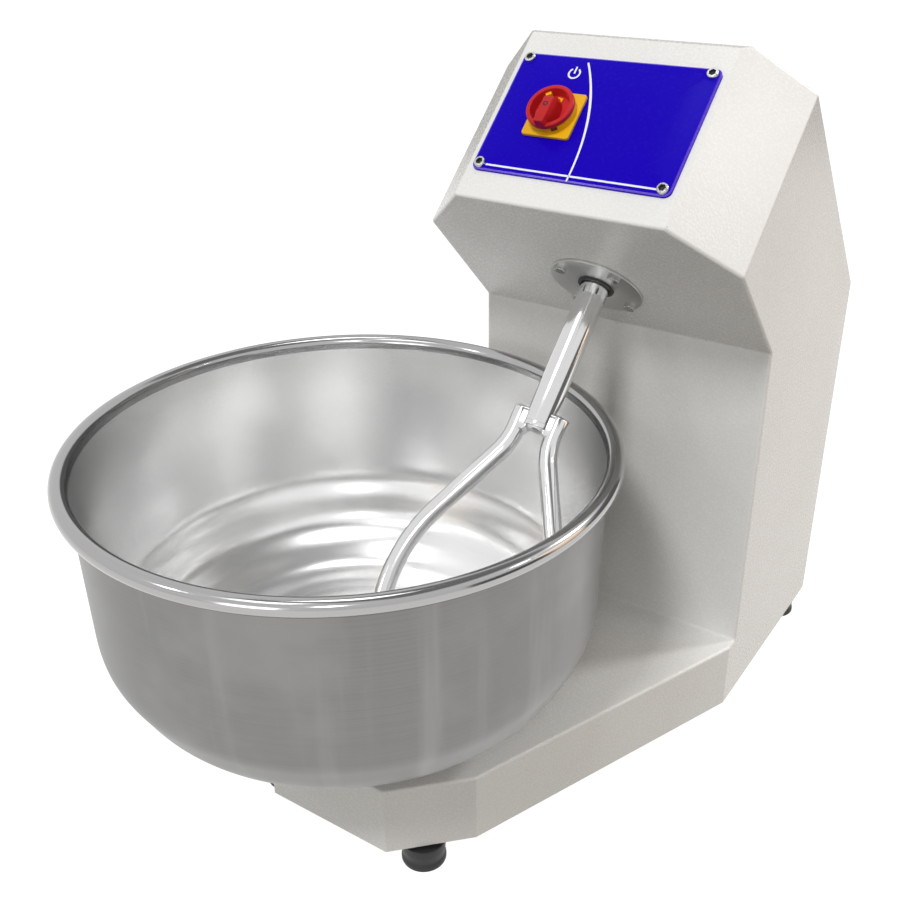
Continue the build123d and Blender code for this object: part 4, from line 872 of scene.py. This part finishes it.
def collar_sheet(where, steps=192):
    """A ring from the plate up, its radius less by a step inside the windows; also which cells are windows."""
    level = np.linspace(PLATE_THICK - COLLAR_SUNK, PLATE_THICK + COLLAR_HEIGHT, COLLAR_LEVELS)[:, None]
    degrees = np.linspace(0, 360.0, steps, endpoint=False)[None]
    off = np.min([np.abs((degrees - middle + 180.0) % 360.0 - 180.0) for middle in WINDOW_ANGLES], axis=0)
    window = (off < WINDOW_HALF) & (level > WINDOW_LOW) & (level < WINDOW_HIGH)
    angle = np.radians(degrees)
    outer = ring(COLLAR_RADIUS - WINDOW_STEP * window, angle, level)
    inner = ring(COLLAR_BORE, angle, level[[-1, 0]])
    grid = np.concatenate([outer, inner, outer[:1]])
    # Window cells take the dark red finish, painted shade for the red inside.
    dark = np.zeros((len(grid) - 1, steps), int)
    pair = window & np.roll(window, -1, axis=1)
    dark[:len(pair) - 1] = pair[:-1] & pair[1:]
    return placed(grid, where), True, dark.ravel()


plate_edge = edge_round(0, PLATE_THICK, PLATE_EASE)
plate_sheet = slab(PLATE_SIDE, PLATE_SIDE, PLATE_CORNER, plate_edge, switch_frame)
make_piece("switch_base", [plate_sheet, collar_sheet(switch_frame)], "machine", "switch_yellow", ["switch_plate"],
           ["switch_yellow", "window_shade_red"], crease=25.0)

# %% [markdown]
# The red handle is a cup that sits in the collar: a broad rim over the collar round a sunk floor, and a high
# narrow grip across it. The grip's upper end ramps down to the floor, and its lower end is a square nose over the
# rim. The cup is turned, and the grip is a stack of outlines whose ends move with the height. Sculpting could
# round the grip too, but outlines keep its measured sizes.

# %% Switch handle
HANDLE_RADIUS, HANDLE_HEIGHT, HANDLE_RIM, HANDLE_CUP = 22.5, 5.0, 4.0, 18.5
CUP_LIFT, HANDLE_FLOOR, HANDLE_GAP, CUP_LEAN = 0.6, 2.2, 0.4, 1.5
HANDLE_EASES = [0.4, 0.2, 0.5, 1.4, 0.8, 1.2]
GRIP_WIDTH, GRIP_FOOT_WIDTH, GRIP_BULGE, GRIP_RISE = 9.3, 10.4, 3.6, 7.0
GRIP_CROWN_END, GRIP_FOOT_END, GRIP_NOSE, GRIP_INNER_END = 4.2, 14.4, -22.4, -17.2
GRIP_MIDDLE, GRIP_BELLY = -3.0, 14.0
GRIP_SUNK, NOSE_LIFT, NOSE_STEP, NOSE_SUNK = 0.4, 0.6, 0.1, 1.6
CROWN_EASE, CROWN_FROM, END_PULL, RAMP_ROUND = 0.8, 0.3, 0.6, 0.96
GRIP_CORNER, GRIP_POINTS = 0.14, 72
FOOT_LEVELS, SIDE_LEVELS, CROWN_LEVELS = 6, 8, 5

cup_low = PLATE_THICK + CUP_LIFT
cup_floor = cup_low + HANDLE_FLOOR
cup_inside = HANDLE_RADIUS - HANDLE_RIM
rim_low = PLATE_THICK + COLLAR_HEIGHT + HANDLE_GAP
rim_top = rim_low + HANDLE_HEIGHT
crown = rim_top + GRIP_RISE
handle_section = eased([
    (0, cup_low), (HANDLE_CUP, cup_low), (HANDLE_CUP, rim_low), (HANDLE_RADIUS, rim_low),
    (HANDLE_RADIUS, rim_top), (cup_inside, rim_top), (cup_inside - CUP_LEAN, cup_floor), (0, cup_floor),
], HANDLE_EASES)


def evenly(outline, count):
    """The same closed outline with that many points, at equal distances along it."""
    line = np.concatenate([outline, outline[:1]])
    run = run_along(line)
    at = np.linspace(0, run[-1], count, endpoint=False)
    return np.stack([np.interp(at, run, column) for column in line.T], -1)


def grip_wedge(where):
    """The grip: outlines from the cup's floor to the crown, a ramp at its upper end, a nose over the rim."""
    shoulder = crown - CROWN_EASE
    level = np.concatenate([
        np.linspace(cup_floor - GRIP_SUNK, rim_low + NOSE_LIFT, FOOT_LEVELS),
        [rim_low + NOSE_LIFT + NOSE_STEP],
        np.linspace(rim_top - NOSE_SUNK, shoulder, SIDE_LEVELS),
        shoulder + CROWN_EASE * np.sin(np.linspace(CROWN_FROM, np.pi / 2, CROWN_LEVELS)),
    ])[:, None]
    share = held((level - cup_floor) / (crown - cup_floor))
    over_rim = np.arange(len(level))[:, None] > FOOT_LEVELS
    rise = np.clip(level - shoulder, 0, CROWN_EASE)
    inset = CROWN_EASE - np.sqrt(CROWN_EASE ** 2 - rise ** 2)
    width = GRIP_FOOT_WIDTH + (GRIP_WIDTH - GRIP_FOOT_WIDTH) * share
    first = np.where(over_rim, GRIP_NOSE, GRIP_INNER_END) + END_PULL * inset
    last = GRIP_FOOT_END + (GRIP_CROWN_END - GRIP_FOOT_END) * share - END_PULL * inset
    square = evenly(rounded_outline(2.0, 2.0, GRIP_CORNER), GRIP_POINTS)
    y = (first + last) / 2 + square[:, 1] * (last - first) / 2
    belly = GRIP_BULGE * (1 - share) * np.maximum(0, 1 - ((y - GRIP_MIDDLE) / GRIP_BELLY) ** 2)
    beyond = np.clip((y - GRIP_CROWN_END) / np.maximum(last - GRIP_CROWN_END, 1.0), 0, RAMP_ROUND)
    x = square[:, 0] * (width / 2 - inset + belly) * np.sqrt(1 - beyond ** 2)
    return closed(np.stack(np.broadcast_arrays(x, y, level), -1), where)


handle_sheets = [turned(handle_section, switch_frame), grip_wedge(switch_frame)]
make_piece("handle_cup", handle_sheets, "main_switch", "switch_red", ["switch_handle"])

# %% [markdown]
# The padlock slide shows as two yellow tabs inside the cup, one against its wall and one on its floor. The rest
# of the slide is hidden, so only the tabs are made, as two small rounded slabs. A small screw sits sunk in the
# grip. Its crown takes the dark finish as painted shade for the hole it sits in, and its cross recess takes
# bright zinc as a painted glint.

# %% Tabs and screw of the handle
# Angle in degrees, radius, width, depth and height of each tab
TABS = {"wall": (120.0, 16.4, 5.6, 3.0, 6.4), "floor": (82.0, 13.0, 5.6, 4.6, 0.8)}
TAB_CORNER, TAB_EASE, TAB_SUNK = 0.5, 0.3, 0.2
SCREW_Y, SCREW_SUNK, SCREW_SPIN = -3.5, 0.9, 40.0
SCREW_RADIUS, SCREW_HEIGHT, SCREW_RECESS, SCREW_SHANK = 2.6, 1.2, 1.0, 1.5

tab_sheets = [
    slab(wide, deep, TAB_CORNER, edge_round(cup_floor - TAB_SUNK, cup_floor + high, TAB_EASE),
         moved_out(switch_frame, out, degrees, spin=degrees - 90.0))
    for degrees, out, wide, deep, high in TABS.values()
]
make_piece("handle_tabs", tab_sheets, "main_switch", "switch_yellow")
screw_frame = moved(switch_frame, 0.0, SCREW_Y, crown - SCREW_SUNK, spin=SCREW_SPIN)
handle_screw = screw_head(screw_frame, SCREW_RADIUS, SCREW_HEIGHT, SCREW_RECESS, SCREW_SHANK, cross_share, 64)
# Painted shade on the crown and a painted glint in the cross recess.
make_piece("handle_screw", [handle_screw], "main_switch", "zinc", ["switch_screw"], ["painted_shade_metal", "zinc"])

# %% [markdown]
# Four rubber feet carry the base. Each is moulded with a lip on the floor, a waist and a straight upper part, so
# it is turned from a half section with eased corners. A bevelled cylinder would be quicker, but would have no
# waist.

# %% Rubber feet
FOOT_HEIGHT, FOOT_RADIUS, FOOT_WAIST, FOOT_TOP_RADIUS, FOOT_LIP = 25.0, 22.0, 20.5, 21.5, 4.0
FOOT_CHAMFER, FOOT_EASES = (0.4, 1.0), [0.4, 0.4, 1.0, 3.0, 3.0, 1.2]

foot_section = eased([
    (0, 0), (FOOT_RADIUS - FOOT_CHAMFER[0], 0), (FOOT_RADIUS, FOOT_CHAMFER[1]), (FOOT_RADIUS, FOOT_LIP),
    (FOOT_WAIST, 2 * FOOT_LIP), (FOOT_TOP_RADIUS, 4 * FOOT_LIP), (FOOT_TOP_RADIUS, FOOT_HEIGHT), (0, FOOT_HEIGHT),
], FOOT_EASES)
for corner in ("front_right", "front_left", "rear_right", "rear_left"):
    low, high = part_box(f"foot_{corner}")
    foot_frame = frame_at(((low.x + high.x) / 2, (low.y + high.y) / 2, 0.0))
    foot = turned(foot_section, foot_frame, 64)
    make_piece(f"rubber_{corner}", [foot], "machine", "foot_rubber", [f"foot_{corner}"])

# %% [markdown]
# The rear cover's air slots are pressed into louvres: over each slot stands a hood that is open at its lower
# edge, so that water and flour run off. A hood is a quarter-round shell that fades out at both ends, and Solidify
# gives it the sheet's thickness. The cover's own mesh could be pressed out instead, but its flat faces have too
# few points for that.

# %% Rear louvres
LOUVRE_LENGTH, LOUVRE_HEIGHT, LOUVRE_PITCH, LOUVRES = 90.0, 6.0, 18.0, 6
LOUVRE_ROWS, EDGE_HEIGHT = (80.0, 290.0), 28.0
HOOD_OUT, HOOD_SHEET, HOOD_BESIDE, HOOD_ABOVE = 5.0, 1.0, 3.0, 4.0
HOOD_COLUMNS, HOOD_LEVELS, FADE_POWER = 49, 13, 6

middle_x = joint["fork_spin"]["pos_m"][0]
rear_frame = frame_at((middle_x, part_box("rear_cover")[1].y, 0.0), (-1, 0, 0), (0, 1, 0))


def louvre_hood(level, where):
    """A hood over one slot: it leaves the sheet above it, rounds out by its depth, and fades at both ends."""
    across = np.linspace(-1, 1, HOOD_COLUMNS)[None]
    down = np.linspace(0, 1, HOOD_LEVELS)[:, None]
    fade = np.sqrt(1 - np.abs(across) ** FADE_POWER)
    x = across * (LOUVRE_LENGTH / 2 + HOOD_BESIDE)
    y = level + LOUVRE_HEIGHT / 2 + HOOD_ABOVE - down * (LOUVRE_HEIGHT + HOOD_ABOVE)
    z = HOOD_OUT * np.sin(down * np.pi / 2) * fade
    return placed(np.stack(np.broadcast_arrays(x, y, z), -1), where), False


hood_sheets = [
    louvre_hood(EDGE_HEIGHT + row + (i - (LOUVRES - 1) / 2) * LOUVRE_PITCH, rear_frame)
    for row in LOUVRE_ROWS for i in range(LOUVRES)
]
hoods = make_piece("rear_louvres", hood_sheets, "machine", "powder_coat")
sheet = hoods.modifiers.new("sheet", "SOLIDIFY")
sheet.thickness, sheet.offset = HOOD_SHEET * MM, -1.0

# %% [markdown]
# The machine stands on a plain floor. The background is white for the camera and for reflections, while the
# floor's own colour is a middle grey that keeps the machine's shadow and throws little light back up. More light
# could whiten the floor as well, but it would wash out the machine. The light that comes from all round is a
# little warm, as in a workshop with cream walls.

# %% Floor and world
WHITE = (1.0, 1.0, 1.0)
FLOOR_GREY, FLOOR_GLOW, FLOOR_HALF = (0.22, 0.21, 0.195), 0.96, 25.0
SKY_FILL, SKY_WARM = 0.42, (1.0, 0.96, 0.91)


def seen_share(tree):
    """1 for rays that show the background: from the camera, and reflected or passed on by metal and glass."""
    path = node(tree, "LightPath", {})
    seen = path.outputs["Is Camera Ray"]
    for kind in ("Is Glossy Ray", "Is Transmission Ray"):
        seen = node(tree, "Math", {0: seen, 1: path.outputs[kind]}, operation="MAXIMUM").outputs[0]
    return seen


def glow_finish(name, level, matt=()):
    """A white glow of that level; with a matt colour too, only the camera and reflections see the glow."""
    finish = bpy.data.materials.new(name)
    finish.use_nodes = True
    tree = finish.node_tree
    tree.nodes.clear()
    if matt:
        level = node(tree, "Math", {0: seen_share(tree), 1: level}, operation="MULTIPLY").outputs[0]
    shown = node(tree, "Emission", {"Color": (*WHITE, 1.0), "Strength": level}).outputs[0]
    if matt:
        diffuse = node(tree, "BsdfDiffuse", {"Color": (*matt, 1.0)}).outputs[0]
        shown = node(tree, "AddShader", {0: diffuse, 1: shown}).outputs[0]
    node(tree, "OutputMaterial", {"Surface": shown})
    return finish


def stage_sheet(name, low, high, finish):
    """A flat sheet of the studio between two opposite corners; it isn't part of the machine."""
    low, high = np.array(low, float), np.array(high, float)
    first, second = np.diag(high - low)[high > low]
    mesh = mesh_of(name, [(np.array([[low, low + first], [low + second, high]]), False, 0)])
    mesh.materials.append(finish)
    made = added(name, mesh)
    return made


stage_sheet("studio_floor", (-FLOOR_HALF, -FLOOR_HALF, 0.0), (FLOOR_HALF, FLOOR_HALF, 0.0),
            glow_finish("studio_floor", FLOOR_GLOW, FLOOR_GREY))

world = bpy.data.worlds.new("studio")
world.use_nodes = True
bpy.context.scene.world = world
tree = world.node_tree
seen = seen_share(tree)
fill = node(tree, "MapRange", {"Value": seen, "To Min": SKY_FILL, "To Max": 1.0})
feed(tree, tree.nodes["Background"], {
    "Strength": fill.outputs["Result"], "Color": blend_colour(tree, seen, SKY_WARM, WHITE),
})
print("floor and world made")

# %% [markdown]
# The key lamp in front is nearly a metre wide, so the shadows of the head, the shaft and the bowl on the column
# have soft edges. A rear lamp lights the bowl's floor and the right side, a wide warm one stands in for light off
# the wall, and weak ones fill the shadows. Steel shows the lamps as cards, which come next, so the key lamp is
# kept out of reflections.

# %% Lamps
WALL_WARM = (1.0, 0.72, 0.50)
# Place, the point it shines at, size in metres, watts and colour
LAMPS = {
    "key_lamp": ((0.25, -3.0, 4.6), (0.05, 0.0, 0.4), 0.9, 126.0, WHITE),
    "side_lamp": ((1.9, 0.5, 1.8), (0.1, 0.0, 0.5), 0.10, 1.6, WHITE),
    "rear_lamp": ((1.75, 1.85, 2.15), (0.15, 0.0, 0.1), 0.35, 26.0, WHITE),
    "wall_lamp": ((2.4, 1.3, 0.8), (0.2, 0.2, 0.4), 1.2, 7.0, WALL_WARM),
    "front_lamp": ((1.1, -1.9, 1.9), (0.0, 0.0, 0.3), 0.3, 4.0, WHITE),
    "low_lamp": ((0.3, -3.0, 0.95), (0.1, 0.0, 0.3), 1.0, 8.5, WHITE),
    "left_lamp": ((-1.4, -2.2, 2.4), (0.0, 0.0, 0.4), 0.25, 4.0, WHITE),
}


def soft_lamp(name, place, aim, size, watts, colour):
    """A square soft box at a place, turned to shine at a point."""
    lamp = bpy.data.lights.new(name, "AREA")
    lamp.shape, lamp.size, lamp.energy, lamp.color = "SQUARE", size, watts, colour
    made = added(name, lamp)
    back = Vector(place) - Vector(aim)
    made.matrix_world = Matrix.Translation(place) @ back.to_track_quat("Z", "Y").to_matrix().to_4x4()
    return made


for name, values in LAMPS.items():
    soft_lamp(name, *values).visible_glossy = name != "key_lamp"
print(len(LAMPS), "lamps")

# %% [markdown]
# Polished steel shows what stands round it: dim walls at the right and behind, and a grey ceiling with two bright
# lamps, which draw the dark lines along shaft, tines and rim and the bright patches in the bowl. A picture of a
# workshop all round could do that, but five flat cards can be put where each line is wanted. Only reflections see
# the cards, so they neither light nor shade the machine.

# %% Cards for the reflections
WALL_GREY, CEILING_GREY, TUBE_WHITE, LAMP_WHITE = 0.16, 0.28, 5.0, 4.0
# Level, and two opposite corners
CARDS = {
    "right_card": (WALL_GREY, (2.6, -0.6, -0.02), (2.6, 3.0, 1.1)),
    "back_card": (WALL_GREY, (-3.5, 3.0, 0.0), (2.6, 3.0, 1.9)),
    "top_card": (CEILING_GREY, (-0.9, -1.1, 3.0), (1.9, 1.8, 3.0)),
    "tube_card": (TUBE_WHITE, (-0.6, -0.3, 2.9), (0.3, 0.3, 2.9)),
    "front_card": (LAMP_WHITE, (-0.7, -1.75, 2.9), (0.2, -1.0, 2.9)),
}
for name, (level, low, high) in CARDS.items():
    card = stage_sheet(name, low, high, glow_finish(name, level))
    card.visible_camera = card.visible_diffuse = card.visible_shadow = card.visible_transmission = False
print(len(CARDS), "cards")
